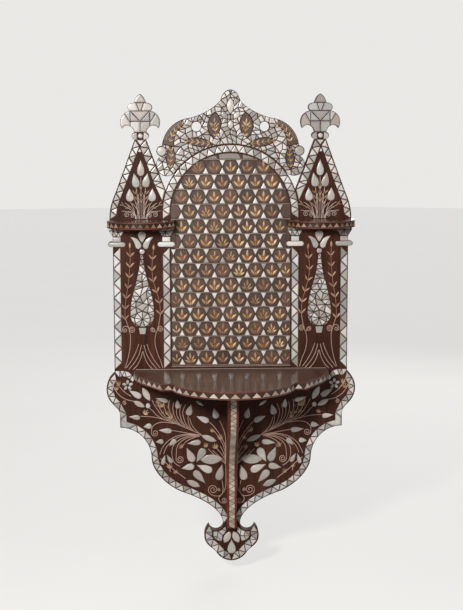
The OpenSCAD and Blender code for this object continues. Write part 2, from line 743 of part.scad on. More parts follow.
module left_spire_border() { mirror([1, 0, 0]) spire_border(); }

lobe_head = lobe_path[0] - border_w / lobe_r * (lobe_path[0] - lobe);
module apron_border() {
    color("gainsboro") {
        triangles([[[edge_x - margin, -margin], [edge_x - column_w, -margin], lobe_head]]);
        triangles(zigzag(back(lobe_path), margin, border_w, border_pitch));
        triangles(zigzag(back(belly_path), margin, border_w, border_pitch));
    }
}
module right_apron_border() { apron_border(); }
module left_apron_border() { mirror([1, 0, 0]) apron_border(); }
module pendant_border() {
    color("gainsboro") both_sides()
        triangles(zigzag(back(pendant_path), margin, pendant_border_w, pendant_pitch));
}

// Shell figures on the dark wood

vase_z = under_gallery - tulip_gap - tulip_h - vase_h;
vase_half = shift(concat(
    bend([0.17 * vase_w, 0], [0.43 * vase_w, 0.03 * vase_h], [vase_w / 2, 0.12 * vase_h],
        [vase_w / 2, 0.19 * vase_h]),
    bend([vase_w / 2, 0.19 * vase_h], [vase_w / 2, 0.43 * vase_h], [0.13 * vase_w, 0.65 * vase_h],
        [0.09 * vase_w, vase_h])), [0, vase_z]);
tulip_z = vase_z + vase_h;
tulip_list = [[0, tulip_z + 0.74 * tulip_h, 0.52 * tulip_h, 0.37 * tulip_h, 0],
    [0.287 * vase_w, tulip_z + 0.44 * tulip_h, 0.64 * tulip_h, 0.4 * tulip_h, -36],
    [-0.287 * vase_w, tulip_z + 0.44 * tulip_h, 0.64 * tulip_h, 0.4 * tulip_h, 36]];
module vase() {
    color("whitesmoke") translate([tower_x, 0, 0]) {
        inlay() polygon(concat(vase_half, flip(vase_half)));
        petals(tulip_list);
        inlay() translate([0, vase_z]) polygon([[-0.11 * vase_w, -0.28 * vase_w],
            [0.11 * vase_w, -0.28 * vase_w], [0.15 * vase_w, -line_w], [-0.15 * vase_w, -line_w]]);
        for (s = [-1, 1]) inlay() translate([s * 0.13 * vase_w, vase_z - 0.5 * vase_w]) rotate(s * 12)
            petal(0.37 * vase_w, 0.22 * vase_w);
    }
}
module right_vase() { vase(); }
module left_vase() { mirror([1, 0, 0]) vase(); }

spire_petal_list = [[0, spire_z - 0.353 * spire_h, 0.205 * spire_h, 0.092 * spire_h, 0, 1],
    [0.087 * spire_w, spire_z - 0.505 * spire_h, 0.187 * spire_h, 0.097 * spire_h, -10, 1],
    [-0.087 * spire_w, spire_z - 0.505 * spire_h, 0.187 * spire_h, 0.097 * spire_h, 10, 1],
    [0.176 * spire_w, spire_z - 0.689 * spire_h, 0.17 * spire_h, 0.098 * spire_h, -3, 1],
    [-0.176 * spire_w, spire_z - 0.689 * spire_h, 0.17 * spire_h, 0.098 * spire_h, 3, 1]];
module spire_petals() {
    color("whitesmoke") translate([tower_x, 0, 0]) petals(spire_petal_list);
}
module right_spire_petals() { spire_petals(); }
module left_spire_petals() { mirror([1, 0, 0]) spire_petals(); }

module finial_shell() {
    color("whitesmoke") {
        inlay() finial_outline();
        inlay() translate([0, -line_w]) collar_outline();
    }
}
module right_finial_shell() { finial_shell(); }
module left_finial_shell() { mirror([1, 0, 0]) finial_shell(); }

// Crest panels and petals given as [x, z, length, width, turn]; the petals stand on the middle line
crest_panel_list = [
    [0.39 * shoulder_x, arch_top + 0.35 * crest_h, 0.46 * crest_h, 0.24 * crest_h, 5],
    [0.77 * shoulder_x, arch_top + 0.035 * crest_h, 0.5 * crest_h, 0.15 * crest_h, -82],
    [ear.x - 0.385 * ear_r, ear.y + 0.65 * ear_r, 2.05 * ear_r, 0.8 * ear_r, 3]];
crest_petal_list = [[0, arch_top + 0.7 * crest_h, 0.29 * crest_h, 0.13 * crest_h, 0],
    [0.15 * shoulder_x, arch_top + 0.53 * crest_h, 0.17 * crest_h, 0.095 * crest_h, -40],
    [-0.15 * shoulder_x, arch_top + 0.53 * crest_h, 0.17 * crest_h, 0.095 * crest_h, 40],
    [0, arch_top + 0.36 * crest_h, 0.16 * crest_h, 0.1 * crest_h, 0]];
// A dark band along each shoulder, which widens down to the boss
shoulder_course = course(bend(boss, [boss.x, boss.y + 36], [shoulder_x + 27, arch_top + shoulder_h - 3],
    [shoulder_x, arch_top + shoulder_h], 24));
module shoulder_band(grow = 0) {
    from = boss_r + 4 - grow;
    to = 0.85 * shoulder_course[2] + grow;
    n = 10;
    near = grow > 0 ? -margin : margin;
    stops = [for (i = [0:n]) let (s = from + (to - from) * i / n)
        [spot(shoulder_course, s), left_of(heading(shoulder_course, s)), i / n]];
    polygon(concat([for (q = stops) q[0] + q[1] * near],
        back([for (q = stops) q[0] + q[1] * ((0.22 - 0.13 * q[2]) * crest_h + grow)])));
}
module crest_panels() {
    color("#4a2c22") both_sides() {
        petals(crest_panel_list);
        inlay() shoulder_band();
    }
}
module crest_petals() {
    color("whitesmoke") {
        petals(crest_petal_list);
        both_sides() inlay() translate(boss) circle(boss_r - line_w);
    }
}
module crest_mosaic() {
    color("gainsboro") inlay() difference() {
        crest_outline();
        translate([0, spring_z]) circle(arch_r + line_w / 2, $fn = 96);
        both_sides() {
            tower_outline();
            translate([hole_gap / 2, hole_z]) circle(hole_d / 2 + line_w);
            translate(boss) circle(boss_r);
            for (p = crest_panel_list)
                translate([p[0], p[1]]) rotate(p[4]) petal(p[2] + 2 * line_w, p[3] + line_w);
            shoulder_band(line_w / 2);
        }
        for (p = crest_petal_list)
            translate([p[0], p[1]]) rotate(p[4]) petal(p[2] + 2 * line_w, p[3] + line_w);
    }
}

// Apron petals as [across, down, length, width, turn, foot]. Across is in hundredths of the cove
// tip's reach, down is 100 at the step, 200 at the cove's tip and 300 at the belly's turn, and the
// sizes are shares of a leaf's length. A large flower, then leaves along the sprays
flower_list = [[52, 189, 1.29, 0.63, -24, 1], [39, 192, 1.31, 0.63, -151, 1], [25, 204, 1.77, 0.8, 87, 0],
    [55, 227, 1.07, 0.54, -101, 1], [34, 230, 1.35, 0.62, -67, 1], [40, 257, 1.35, 0.6, 139, 1],
    [48, 276, 1.19, 0.5, 114, 0]];
leaf_list = [[14, 243, 1.35, 0.65, 14, 1], [47, 151, 1.13, 0.45, -96, 1], [28, 137, 1.3, 0.45, -68, 0],
    [74, 150, 0.77, 0.41, -138, 1], [90, 146, 0.64, 0.41, -94, 1], [83, 111, 1.09, 0.42, -86, 1],
    [105, 98, 0.69, 0.45, -99, 1], [121, 82, 0.93, 0.41, -85, 1], [36, 86, 1.1, 0.49, -66, 1],
    [52, 70, 0.93, 0.53, 15, 1], [67, 59, 0.78, 0.41, -3, 1], [20, 76, 0.92, 0.53, -13, 1],
    [39, 59, 0.82, 0.24, -57, 0], [87, 52, 1.05, 0.36, -74, 1], [120, 41, 1.14, 0.49, -58, 1],
    [106, 42, 1.2, 0.49, -28, 0], [115, 59, 1.01, 0.42, -61, 0], [104, 62, 0.41, 0.37, 0, 0],
    [85, 204, 0.85, 0.32, 16, 1], [78, 201, 0.86, 0.34, -31, 1]];
function on_apron(list) = [for (p = list) concat([p[0] * cove_tip.x / 100,
    lookup(p[1], [[0, 0], [100, step_tip.y], [200, cove_tip.y], [300, -belly_drop]])],
    [p[2], p[3]] * leaf_l, [p[4], p[5]])];
rosette_r = 0.16 * lobe_r;
rosette = lobe + [0, 0.2 * lobe_r];
module apron_petals() {
    color("whitesmoke") {
        petals(on_apron(flower_list));
        petals(on_apron(leaf_list));
        for (i = [0:4]) petals([concat(rosette + rosette_r * [sin(72 * i), cos(72 * i)],
            [1.4 * rosette_r, 0.93 * rosette_r, -72 * i])]);
    }
}
module right_apron_petals() { apron_petals(); }
module left_apron_petals() { mirror([1, 0, 0]) apron_petals(); }
module pendant_petals() {
    color("whitesmoke") {
        for (s = [-1, 1]) petals([[s * 0.08 * pendant_w, pendant_z + 0.63 * pendant_h, 0.33 * pendant_h,
            0.18 * pendant_h, 26 * s]]);
        petals([[0, pendant_z + 0.38 * pendant_h, 0.38 * pendant_h, 0.22 * pendant_h, 0, 1]]);
    }
}

// Teeth and strips on the edges

// How far a flat piece between two lengths along a course stands off to clear the bulge between them
function lift(c, from, to, side) =
    max(0, (spot(c, (from + to) / 2) - (spot(c, from) + spot(c, to)) / 2) * side);
module teeth(path, pitch, height, low) {
    c = course(path);
    n = floor(c[2] / pitch);
    step = c[2] / n;
    for (k = [0:n - 1]) {
        a = spot(c, (k + 0.06) * step);
        b = spot(c, (k + 0.94) * step);
        run = (b - a) / norm(b - a);
        out = [run.y, -run.x];
        p = (a + b) / 2 + out * (lift(c, (k + 0.06) * step, (k + 0.94) * step, out) + bore_gap);
        translate([p.x, -p.y, low]) rotate([0, 0, atan2(out.x, out.y)]) rotate([90, 0, 0])
            linear_extrude(inlay_t) polygon([[-norm(b - a) / 2, 0], [norm(b - a) / 2, 0], [0, height]]);
    }
}
edge_line = 3;
module shelf_edge_teeth() {
    // The teeth start clear of the planks
    path = [for (p = shelf_path) if (p.y > 10) p];
    color("wheat") translate([0, -board_t, 0])
        teeth(path, tooth_pitch, shelf_t - 2 * edge_line, -shelf_t + edge_line);
}
module gallery_teeth() {
    path = [for (p = gallery_path) if (p.y > 10) p];
    color("wheat") translate([tower_x, -face, 0])
        teeth(path, gallery_pitch, gallery_t - 2 * edge_line, under_gallery + edge_line);
}
module right_gallery_teeth() { gallery_teeth(); }
module left_gallery_teeth() { mirror([1, 0, 0]) gallery_teeth(); }
module bracket_edge_strip() {
    c = course(concat([[bracket_d, -shelf_t - 2]], [for (p = bracket_edge) if (p.y < -shelf_t - 2) p]));
    n = round(2 * c[2] / strip_pitch);
    step = c[2] / n;
    color("gainsboro") for (k = [0:n - 2]) {
        a = spot(c, k * step);
        b = spot(c, (k + 2) * step);
        run = (b - a) / norm(b - a);
        out = [-run.y, run.x];
        p = (a + b) / 2 + out * (lift(c, k * step, (k + 2) * step, out) + bore_gap);
        s = k % 2 == 0 ? 1 : -1;
        translate([0, -board_t - p.x, p.y]) rotate([atan2(out.x, out.y), 0, 0])
            linear_extrude(inlay_t) polygon(drawn_in([[-s * strip_w / 2, -norm(b - a) / 2],
                [-s * strip_w / 2, norm(b - a) / 2], [s * strip_w / 2, 0]]));
    }
}

centre_plank();
left_plank();
right_plank();
seam_dowels();
upper_batten();
lower_batten();
batten_pegs();
main_shelf();
shelf_nails();
bracket();
bracket_nails();
left_gallery_shelf();
right_gallery_shelf();
gallery_nails();
lattice_roundels();
lattice_triangles();
lattice_wires();
arch_border();
left_inner_column();
left_outer_column();
right_inner_column();
right_outer_column();
left_capitals();
right_capitals();
left_vase();
right_vase();
left_spire_border();
right_spire_border();
left_spire_petals();
right_spire_petals();
left_finial_shell();
right_finial_shell();
crest_mosaic();
crest_panels();
crest_petals();
left_apron_border();
right_apron_border();
left_apron_petals();
right_apron_petals();
pendant_border();
pendant_petals();
shelf_edge_teeth();
left_gallery_teeth();
right_gallery_teeth();
bracket_edge_strip();
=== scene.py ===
import math
import random
import bpy
import bmesh
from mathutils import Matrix, Quaternion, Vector
from mathutils.geometry import delaunay_2d_cdt


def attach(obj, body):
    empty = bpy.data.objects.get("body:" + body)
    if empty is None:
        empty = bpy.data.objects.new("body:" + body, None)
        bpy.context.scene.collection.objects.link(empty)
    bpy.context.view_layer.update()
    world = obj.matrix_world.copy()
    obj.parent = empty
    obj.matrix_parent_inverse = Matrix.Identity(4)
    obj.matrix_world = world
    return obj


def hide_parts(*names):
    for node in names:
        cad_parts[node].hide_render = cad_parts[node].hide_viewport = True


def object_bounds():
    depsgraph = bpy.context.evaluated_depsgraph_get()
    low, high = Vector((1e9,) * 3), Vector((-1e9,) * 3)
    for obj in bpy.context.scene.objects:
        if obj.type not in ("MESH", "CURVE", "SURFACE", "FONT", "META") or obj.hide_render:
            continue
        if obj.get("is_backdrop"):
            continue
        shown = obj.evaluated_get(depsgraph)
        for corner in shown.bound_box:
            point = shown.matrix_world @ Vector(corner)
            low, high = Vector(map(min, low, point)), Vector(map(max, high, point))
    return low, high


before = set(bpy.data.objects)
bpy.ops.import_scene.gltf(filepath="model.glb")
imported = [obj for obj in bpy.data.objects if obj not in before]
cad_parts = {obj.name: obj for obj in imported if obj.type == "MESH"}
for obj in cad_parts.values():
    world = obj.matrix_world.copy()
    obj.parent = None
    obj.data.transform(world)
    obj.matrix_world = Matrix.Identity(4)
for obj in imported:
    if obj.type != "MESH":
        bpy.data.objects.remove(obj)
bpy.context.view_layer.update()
mm = 0.001
plankFace = -18.0  # front of the planks, in mm along Y
inlayFace = -18.8  # front of the flat inlay
towerX = 166.5  # middle of a tower panel
sides = (("left", -1), ("right", 1))
marks = ("shade", "hue", "wearGrimeAndShade")  # values at each point that the finishes read


def srgb(r, g, b):
    return [((v / 255 + 0.055) / 1.055) ** 2.4 if v > 10 else v / 3294 for v in (r, g, b)] + [1]


def tones(stops):
    return [(spot, srgb(*colour)) for spot, *colour in stops]


# Node trees, for the finishes, the world and Geometry Nodes

class Value:
    def __init__(self, nodes, socket):
        self.nodes, self.socket = nodes, socket

    def __add__(self, other): return self.nodes.maths("ADD", self, other)
    def __radd__(self, other): return self.nodes.maths("ADD", other, self)
    def __rsub__(self, other): return self.nodes.maths("SUBTRACT", other, self)
    def __mul__(self, other): return self.nodes.maths("MULTIPLY", self, other)


class Nodes:
    def __init__(self, tree):
        self.tree = tree
        tree.nodes.clear()

    def node(self, kind, sockets=None, out=0, **settings):
        made = self.tree.nodes.new(kind)
        for key, value in settings.items():
            setattr(made, key, value)
        for key, value in (sockets or {}).items():
            self.feed(made.inputs[key], value)
        return Value(self, made.outputs[out]) if made.outputs else made

    def feed(self, socket, value):
        if isinstance(value, Value):
            self.tree.links.new(value.socket, socket)
        else:
            socket.default_value = value

    def maths(self, operation, a, b=0.0):
        return self.node("ShaderNodeMath", {0: a, 1: b}, operation=operation)

    def seen(self):
        straight, glossy, clear = (self.node("ShaderNodeLightPath", out=ray) for ray in
                                   ("Is Camera Ray", "Is Glossy Ray", "Is Transmission Ray"))
        return self.maths("MAXIMUM", self.maths("MAXIMUM", straight, glossy), clear)


class Finish(Nodes):
    def __init__(self, name):
        self.material = bpy.data.materials.new(name)
        self.material.use_nodes = True
        super().__init__(self.material.node_tree)
        self.shader = self.tree.nodes.new("ShaderNodeBsdfPrincipled")
        self.node("ShaderNodeOutputMaterial", {0: Value(self, self.shader.outputs[0])})

    def blend(self, a, b, share, mode="MIX"):
        return self.node("ShaderNodeMix", {0: share, 6: a, 7: b}, 2, data_type="RGBA", blend_type=mode)

    def cloud(self, stretch, detail=3, rough=0.55, twist=0.0):
        where = self.node("ShaderNodeTexCoord", out=3)
        where = self.node("ShaderNodeMapping", {"Vector": where, "Scale": stretch})
        return self.node("ShaderNodeTexNoise", {"Vector": where, "Scale": 1.0, "Detail": detail,
                                                      "Roughness": rough, "Distortion": twist})

    def ramp(self, value, stops):
        made = self.node("ShaderNodeValToRGB", {0: value})
        elements = made.socket.node.color_ramp.elements
        elements.remove(elements[1])
        elements[0].position, elements[0].color = stops[0]
        for spot, colour in stops[1:]:
            elements.new(spot).color = colour
        return made

    def mark(self, name):
        return self.node("ShaderNodeAttribute", out=2, attribute_name=name)

    def bump(self, height, strength, depth):
        return self.node("ShaderNodeBump", {"Height": height, "Strength": strength, "Distance": depth})

    def surface(self, values):
        for key, value in values.items():
            self.feed(self.shader.inputs[key], value)
        return self.material


# Finishes. Colours are written as sRGB and stops as (position, r, g, b)

def woodFinish(name, look):
    f = Finish(name)
    dark, mid, light, stain, worn, edge = (srgb(*look.get(part, look["dark"])) for part in
                                           ("dark", "mid", "light", "stain", "worn", "edge"))
    broad = f.cloud(look["grain"], 4, 0.6, 0.8)
    pores = f.cloud([g * 7 for g in look["grain"]], 3, 0.7, 0.3)
    patches = f.cloud((9, 9, 9), 3)
    tone = broad * 0.62 + pores * 0.38
    colour = f.ramp(tone, [(0.32, dark), (0.5, mid), (0.7, light)])
    stained = f.ramp(patches, [(0.5, (0, 0, 0, 1)), (0.75, (0.5, 0.5, 0.5, 1))])
    # side marks the planks' backs, which take the bare wood's edge colour, and the shelves' front edges, whose
    # darker edge colour is painted shade
    side = f.mark("side")
    colour = f.blend(f.blend(colour, stain, stained), edge, side * tone * 1.5)
    colour = f.blend(colour, worn, f.mark("wearGrimeAndShade") * (0.35 + broad * 0.6))
    return f.surface({"Base Color": colour, "Roughness": look["rough"] + pores * 0.22,
                      "Normal": f.bump(pores, 0.25, 0.0004), "Coat Weight": (1 - side) * look["coat"],
                      "Coat Roughness": 0.16, "Specular IOR Level": look["shine"]})


shellPlay = tones([(0.0, 252, 246, 240), (0.2, 250, 236, 230), (0.38, 252, 248, 238), (0.55, 232, 240, 232),
                   (0.72, 234, 238, 246), (0.87, 248, 238, 242), (1.0, 252, 246, 240)])
petalPlay = tones([(0.0, 250, 245, 238), (0.3, 244, 230, 222), (0.55, 236, 238, 230), (0.8, 236, 234, 236),
                   (1.0, 250, 245, 238)])


def shellFinish(name, look):
    f = Finish(name)
    sheen = f.cloud((150, 150, 150), 2, 0.5, 1.5)
    growth = f.cloud((700, 260, 160), 3, 0.6, 2.0)
    tint = f.ramp(f.maths("FRACT", f.mark("hue") + sheen * 0.55), shellPlay)
    light = f.ramp(f.mark("shade") * 0.82 + growth * 0.18, tones(look["tones"]))
    colour = f.blend(light, tint, look["play"], "MULTIPLY")
    # pieces darken towards the grime colour at their rims: grime in the joints, and painted shade on a crowned
    # rim
    colour = f.blend(colour, srgb(*look["grime"]), f.mark("wearGrimeAndShade") * 0.7)
    return f.surface({"Base Color": colour, "Roughness": 0.26 + sheen * 0.22,
                      "Normal": f.bump(growth, 0.12, 0.0003), "Coat Weight": 0.3, "Coat Roughness": 0.2,
                      "Specular IOR Level": 0.5})


def petalFinish(name, look):
    f = Finish(name)
    layout = f.node("ShaderNodeTexCoord", out=2)
    along, across = (f.node("ShaderNodeSeparateXYZ", {0: layout}, k) for k in (0, 1))
    veins = f.maths("PINGPONG", across * 4.0, 0.5)
    cut = f.ramp(veins, [(0.0, (1, 1, 1, 1)), (0.09, (0.75, 0.75, 0.75, 1)), (0.2, (0, 0, 0, 1))])
    sheen = f.cloud((95, 95, 95), 2, 0.5, 1.2)
    tint = f.ramp(f.maths("FRACT", f.mark("hue") + sheen * 0.5), petalPlay)
    # the tone rises along each petal's length: a painted highlight towards one end
    light = f.ramp(f.mark("shade") * 0.7 + sheen * 0.2 + along * 0.1, tones(look["tones"]))
    # petals darken at their rims and engraved lines: grime in the joints and cuts, and painted shade on the domed
    # rim
    colour = f.blend(f.blend(light, tint, 0.8, "MULTIPLY"), srgb(*look["grime"]),
                     cut * 0.3 + f.mark("wearGrimeAndShade") * 0.35)
    return f.surface({"Base Color": colour, "Roughness": 0.2 + sheen * 0.2,
                      "Normal": f.bump(cut, 0.3, -0.0003), "Coat Weight": 0.4, "Coat Roughness": 0.08,
                      "Specular IOR Level": 0.55})


def metalFinish(name, look):
    f = Finish(name)
    tarnish = f.cloud((120, 120, 120), 3)
    streak = f.cloud((900, 900, 200), 2)
    level = look["level"] if "level" in look else f.mark("shade") * 0.7
    return f.surface({"Base Color": f.ramp(tarnish * 0.3 + level, tones(look["tones"])),
                      "Metallic": look["metal"], "Roughness": look["rough"] + tarnish * 0.25,
                      "Normal": f.bump(streak, 0.15, 0.0002)})


def roundelFinish(name, look):
    f = Finish(name)
    clouds = f.cloud((70, 70, 70), 3, 0.6, 1.0)
    grain = f.cloud((500, 500, 60), 3, 0.6)
    colour = f.ramp(f.mark("shade") * 0.55 + clouds * 0.3 + grain * 0.15, tones(look["tones"]))
    colour = f.blend(colour, srgb(*look["rim"]), f.mark("wearGrimeAndShade"))
    return f.surface({"Base Color": colour, "Roughness": 0.32 + grain * 0.2,
                      "Normal": f.bump(grain, 0.15, 0.0003), "Coat Weight": 0.12, "Coat Roughness": 0.15,
                      "Specular IOR Level": 0.4})


finishes, slots = {}, {}


def makeFinishes(make, slot, looks):
    for name, look in looks.items():
        finishes[name], slots[name] = make(name, look), slot


makeFinishes(woodFinish, "walnut", {
    "walnut": {"grain": (70, 70, 5), "dark": (42, 22, 16), "mid": (68, 38, 28), "light": (94, 56, 42),
               "stain": (50, 29, 22), "worn": (124, 62, 40), "edge": (116, 88, 67),
               "rough": 0.42, "coat": 0.02, "shine": 0.09},
    # the shelf's edge colour is painted shade on its front edges
    "shelfWood": {"grain": (6, 85, 85), "dark": (58, 37, 29), "mid": (88, 61, 49), "light": (112, 82, 67),
                  "stain": (72, 52, 44), "worn": (144, 66, 42), "edge": (46, 24, 17),
                  "rough": 0.24, "coat": 0.7, "shine": 0.3},
    # painted shade: the gallery shelves' wood is darkened overall, and its edge colour darkens their front edges
    # further
    "galleryWood": {"grain": (8, 80, 80), "dark": (38, 22, 15), "mid": (60, 37, 25), "light": (86, 55, 38),
                    "stain": (46, 29, 22), "worn": (140, 84, 58), "edge": (36, 18, 10),
                    "rough": 0.3, "coat": 0.8, "shine": 0.2},
    "bracketWood": {"grain": (70, 70, 6), "dark": (62, 28, 18), "mid": (98, 48, 32), "light": (126, 68, 46),
                    "stain": (74, 36, 25), "worn": (146, 78, 52), "rough": 0.38, "coat": 0.1, "shine": 0.2}})
makeFinishes(woodFinish, "back_wood", {
    "backWood": {"grain": (6, 60, 60), "dark": (104, 76, 54), "mid": (138, 104, 76), "light": (164, 128, 96),
                 "stain": (108, 84, 64), "worn": (172, 138, 104), "rough": 0.6, "coat": 0.0, "shine": 0.3}})
makeFinishes(woodFinish, "dark_wood", {
    "fieldWood": {"grain": (90, 90, 12), "dark": (52, 38, 32), "mid": (76, 58, 49), "light": (102, 82, 71),
                  "stain": (64, 48, 41), "worn": (86, 68, 58), "rough": 0.45, "coat": 0.05, "shine": 0.2}})
makeFinishes(roundelFinish, "dark_wood", {
    "roundelWood": {"tones": [(0.2, 46, 32, 26), (0.5, 74, 53, 42), (0.8, 104, 75, 57)], "rim": (26, 17, 14)}})
makeFinishes(shellFinish, "shell", {
    "shell": {"tones": [(0.0, 112, 106, 101), (0.3, 160, 154, 148), (0.6, 200, 195, 189),
                        (0.85, 240, 237, 232), (1.0, 252, 251, 248)], "grime": (66, 48, 40), "play": 0.8},
    "greyShell": {"tones": [(0.0, 84, 79, 76), (0.5, 116, 110, 106), (1.0, 150, 144, 139)],
                  "grime": (56, 42, 36), "play": 0.6}})
makeFinishes(shellFinish, "bone", {
    "bone": {"tones": [(0.0, 138, 110, 94), (0.35, 180, 155, 138), (0.7, 206, 186, 170), (1.0, 230, 216, 202)],
             "grime": (96, 60, 44), "play": 0.6},
    "ivory": {"tones": [(0.0, 132, 112, 96), (0.35, 174, 154, 136), (0.7, 202, 186, 168), (1.0, 226, 214, 198)],
              "grime": (84, 50, 36), "play": 0.5},
    # painted shade: the gallery teeth's amber tones are dimmed for their shaded edge, beside the real mix of pale
    # and dark teeth
    "amber": {"tones": [(0.0, 66, 36, 21), (0.4, 106, 62, 36), (0.7, 130, 84, 52), (0.86, 176, 142, 118),
                        (1.0, 212, 190, 172)], "grime": (56, 30, 18), "play": 0.3}})
makeFinishes(petalFinish, "pearl", {
    "pearl": {"tones": [(0.0, 142, 136, 130), (0.4, 186, 180, 173), (0.75, 226, 221, 215), (1.0, 250, 248, 244)],
              "grime": (88, 68, 57)}})
makeFinishes(metalFinish, "wire", {
    "goldLeaf": {"tones": [(0.0, 114, 80, 53), (0.35, 154, 116, 79), (0.7, 197, 161, 113), (1.0, 237, 214, 173)],
                 "metal": 0.15, "rough": 0.34},
    "russet": {"tones": [(0.0, 78, 43, 27), (0.5, 112, 66, 42), (1.0, 142, 90, 60)], "metal": 0.0, "rough": 0.4},
    "copperWire": {"tones": [(0.0, 150, 112, 98), (0.5, 192, 156, 140), (1.0, 222, 196, 182)],
                   "metal": 0.1, "rough": 0.34},
    "dullGold": {"tones": [(0.0, 120, 88, 60), (0.4, 158, 124, 88), (1.0, 202, 172, 132)],
                 "metal": 0.2, "rough": 0.34},
    "chainGold": {"tones": [(0.0, 116, 80, 60), (0.4, 156, 114, 88), (1.0, 204, 164, 134)],
                  "metal": 0.1, "rough": 0.36},
    "redLine": {"tones": [(0.0, 74, 32, 20), (0.5, 112, 54, 36), (1.0, 146, 84, 62)], "metal": 0.0, "rough": 0.4},
    "silverWire": {"tones": [(0.0, 146, 122, 110), (0.5, 190, 168, 156), (1.0, 224, 208, 198)],
                   "metal": 0.1, "rough": 0.34},
    "paleWire": {"tones": [(0.0, 120, 100, 88), (0.5, 164, 144, 130), (1.0, 204, 188, 174)],
                 "metal": 0.15, "rough": 0.34, "level": 0.3}})
makeFinishes(metalFinish, "iron", {
    "iron": {"tones": [(0.0, 40, 36, 34), (0.5, 66, 60, 56), (1.0, 98, 84, 74)],
             "metal": 0.8, "rough": 0.5, "level": 0.3}})
print("finishes made")


# Mesh helpers. Flat work is drawn in mm as (x, z) and set on the planks' front

def mergedCopy(node):
    bm = bmesh.new()
    bm.from_mesh(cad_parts[node].data)
    bmesh.ops.remove_doubles(bm, verts=bm.verts, dist=1e-5)
    return bm


def islandsOf(bm):
    def spot(group):
        return [round(sum(v.co[k] for f in group for v in f.verts) / len(group), 4) for k in (2, 0, 1)]

    left, groups = set(bm.faces), []
    for first in bm.faces:
        if first not in left:
            continue
        left.remove(first)
        stack, group = [first], []
        while stack:
            face = stack.pop()
            group.append(face)
            for other in [f for edge in face.edges for f in edge.link_faces]:
                if other in left:
                    left.remove(other)
                    stack.append(other)
        groups.append(group)
    return sorted(groups, key=spot)


def around(loop):
    return zip(loop, loop[1:] + loop[:1])


def area(loop):
    return sum(a[0] * b[1] - b[0] * a[1] for a, b in around(loop)) / 2


def facing(loop):
    return loop if area(loop) > 0 else loop[::-1]


def middleOf(loop):
    return sum(p[0] for p in loop) / len(loop), sum(p[1] for p in loop) / len(loop)


def drawnIn(loop, share):
    cx, cz = middleOf(loop)
    return [(cx + (x - cx) * share, cz + (z - cz) * share) for x, z in loop]


def fromLowest(loop):
    k = min(range(len(loop)), key=lambda i: (round(loop[i][1], 2), round(loop[i][0], 2)))
    return loop[k:] + loop[:k]


def outlinesOf(*nodes):
    if len(nodes) > 1:
        return [shape for node in nodes for shape in outlinesOf(node)]
    bm, shapes = mergedCopy(nodes[0]), []
    bm.normal_update()
    for group in islandsOf(bm):
        front = [f for f in group if f.normal.y < -0.9]
        shown = set(front)
        rim = [e for f in front for e in f.edges if sum(g in shown for g in e.link_faces) == 1]
        after = {}
        for e in rim:
            for v in e.verts:
                after.setdefault(v, []).append(e)
        loops, used = [], set()
        for start in rim:
            if start in used:
                continue
            used.add(start)
            loop, v = [start.verts[0]], start.verts[1]
            while v != loop[0]:
                loop.append(v)
                edge = next((e for e in after[v] if e not in used), None)
                if edge is None:
                    break
                used.add(edge)
                v = edge.other_vert(v)
            loops.append([(p.co.x * 1000, p.co.z * 1000) for p in loop])
        loops = [fromLowest(facing(loop)) for loop in loops if len(loop) > 2]
        shapes.append(sorted(loops, key=lambda loop: -area(loop)))
    bm.free()
    return sorted(shapes, key=lambda s: (round(s[0][0][1], 2), round(s[0][0][0], 2)))


def inside(p, loop):
    hit = False
    for (x0, z0), (x1, z1) in around(loop):
        if (z0 > p[1]) != (z1 > p[1]) and p[0] < (x1 - x0) * (p[1] - z0) / (z1 - z0) + x0:
            hit = not hit
    return hit


def insetLoop(loop, by, sharpest=0.3):
    made = []
    for i, (x, z) in enumerate(loop):
        (ax, az), (bx, bz) = loop[i - 1], loop[(i + 1) % len(loop)]
        la, lb = math.hypot(x - ax, z - az) or 1e-9, math.hypot(bx - x, bz - z) or 1e-9
        n1, n2 = ((az - z) / la, (x - ax) / la), ((z - bz) / lb, (bx - x) / lb)
        share = by / max(sharpest, 1 + n1[0] * n2[0] + n1[1] * n2[1])
        made.append((x + (n1[0] + n2[0]) * share, z + (n1[1] + n2[1]) * share))
    return made


def respaced(loop, spacing, sharp=0.5):
    n = len(loop)
    corners = []
    for i in range(n):
        a, b, c = loop[i - 1], loop[i], loop[(i + 1) % n]
        turn = math.atan2(c[1] - b[1], c[0] - b[0]) - math.atan2(b[1] - a[1], b[0] - a[0])
        if abs((turn + math.pi) % (2 * math.pi) - math.pi) > sharp:
            corners.append(i)
    corners = corners or [0]
    made = []
    for k, i in enumerate(corners):
        j = corners[(k + 1) % len(corners)]
        stretch = [loop[m % n] for m in range(i, (j if j > i else j + n) + 1)]
        lengths = [math.dist(a, b) for a, b in zip(stretch, stretch[1:])]
        pieces = max(1, round(sum(lengths) / spacing))
        for q in range(pieces):
            want, m = sum(lengths) * q / pieces, 0
            while m < len(lengths) - 1 and want > lengths[m]:
                want -= lengths[m]
                m += 1
            t, a, b = want / (lengths[m] or 1), stretch[m], stretch[m + 1]
            made.append((a[0] + (b[0] - a[0]) * t, a[1] + (b[1] - a[1]) * t))
    return made


def someShade(dice, white=0.22, grey=0.5):
    roll = dice.random()
    if roll < white:
        return dice.uniform(0.85, 1.0)
    if roll < 1 - grey:
        return dice.uniform(0.58, 0.82)
    return dice.uniform(0.24, 0.56)


# a crowned piece and a dome darken towards their rims: grime in the joints, and painted shade across the rounded
# rim
plateLook = {"sunk": 0.1, "flat": 0.66, "rimGrimeAndShade": 0.55, "shardChamfer": 0.2, "shardCrown": 0.25}
domeLook = {"lip": 0.35, "steps": (0.95, 0.8, 0.6, 0.38, 0.16), "roundness": 2.2, "rimGrimeAndShade": 0.5}


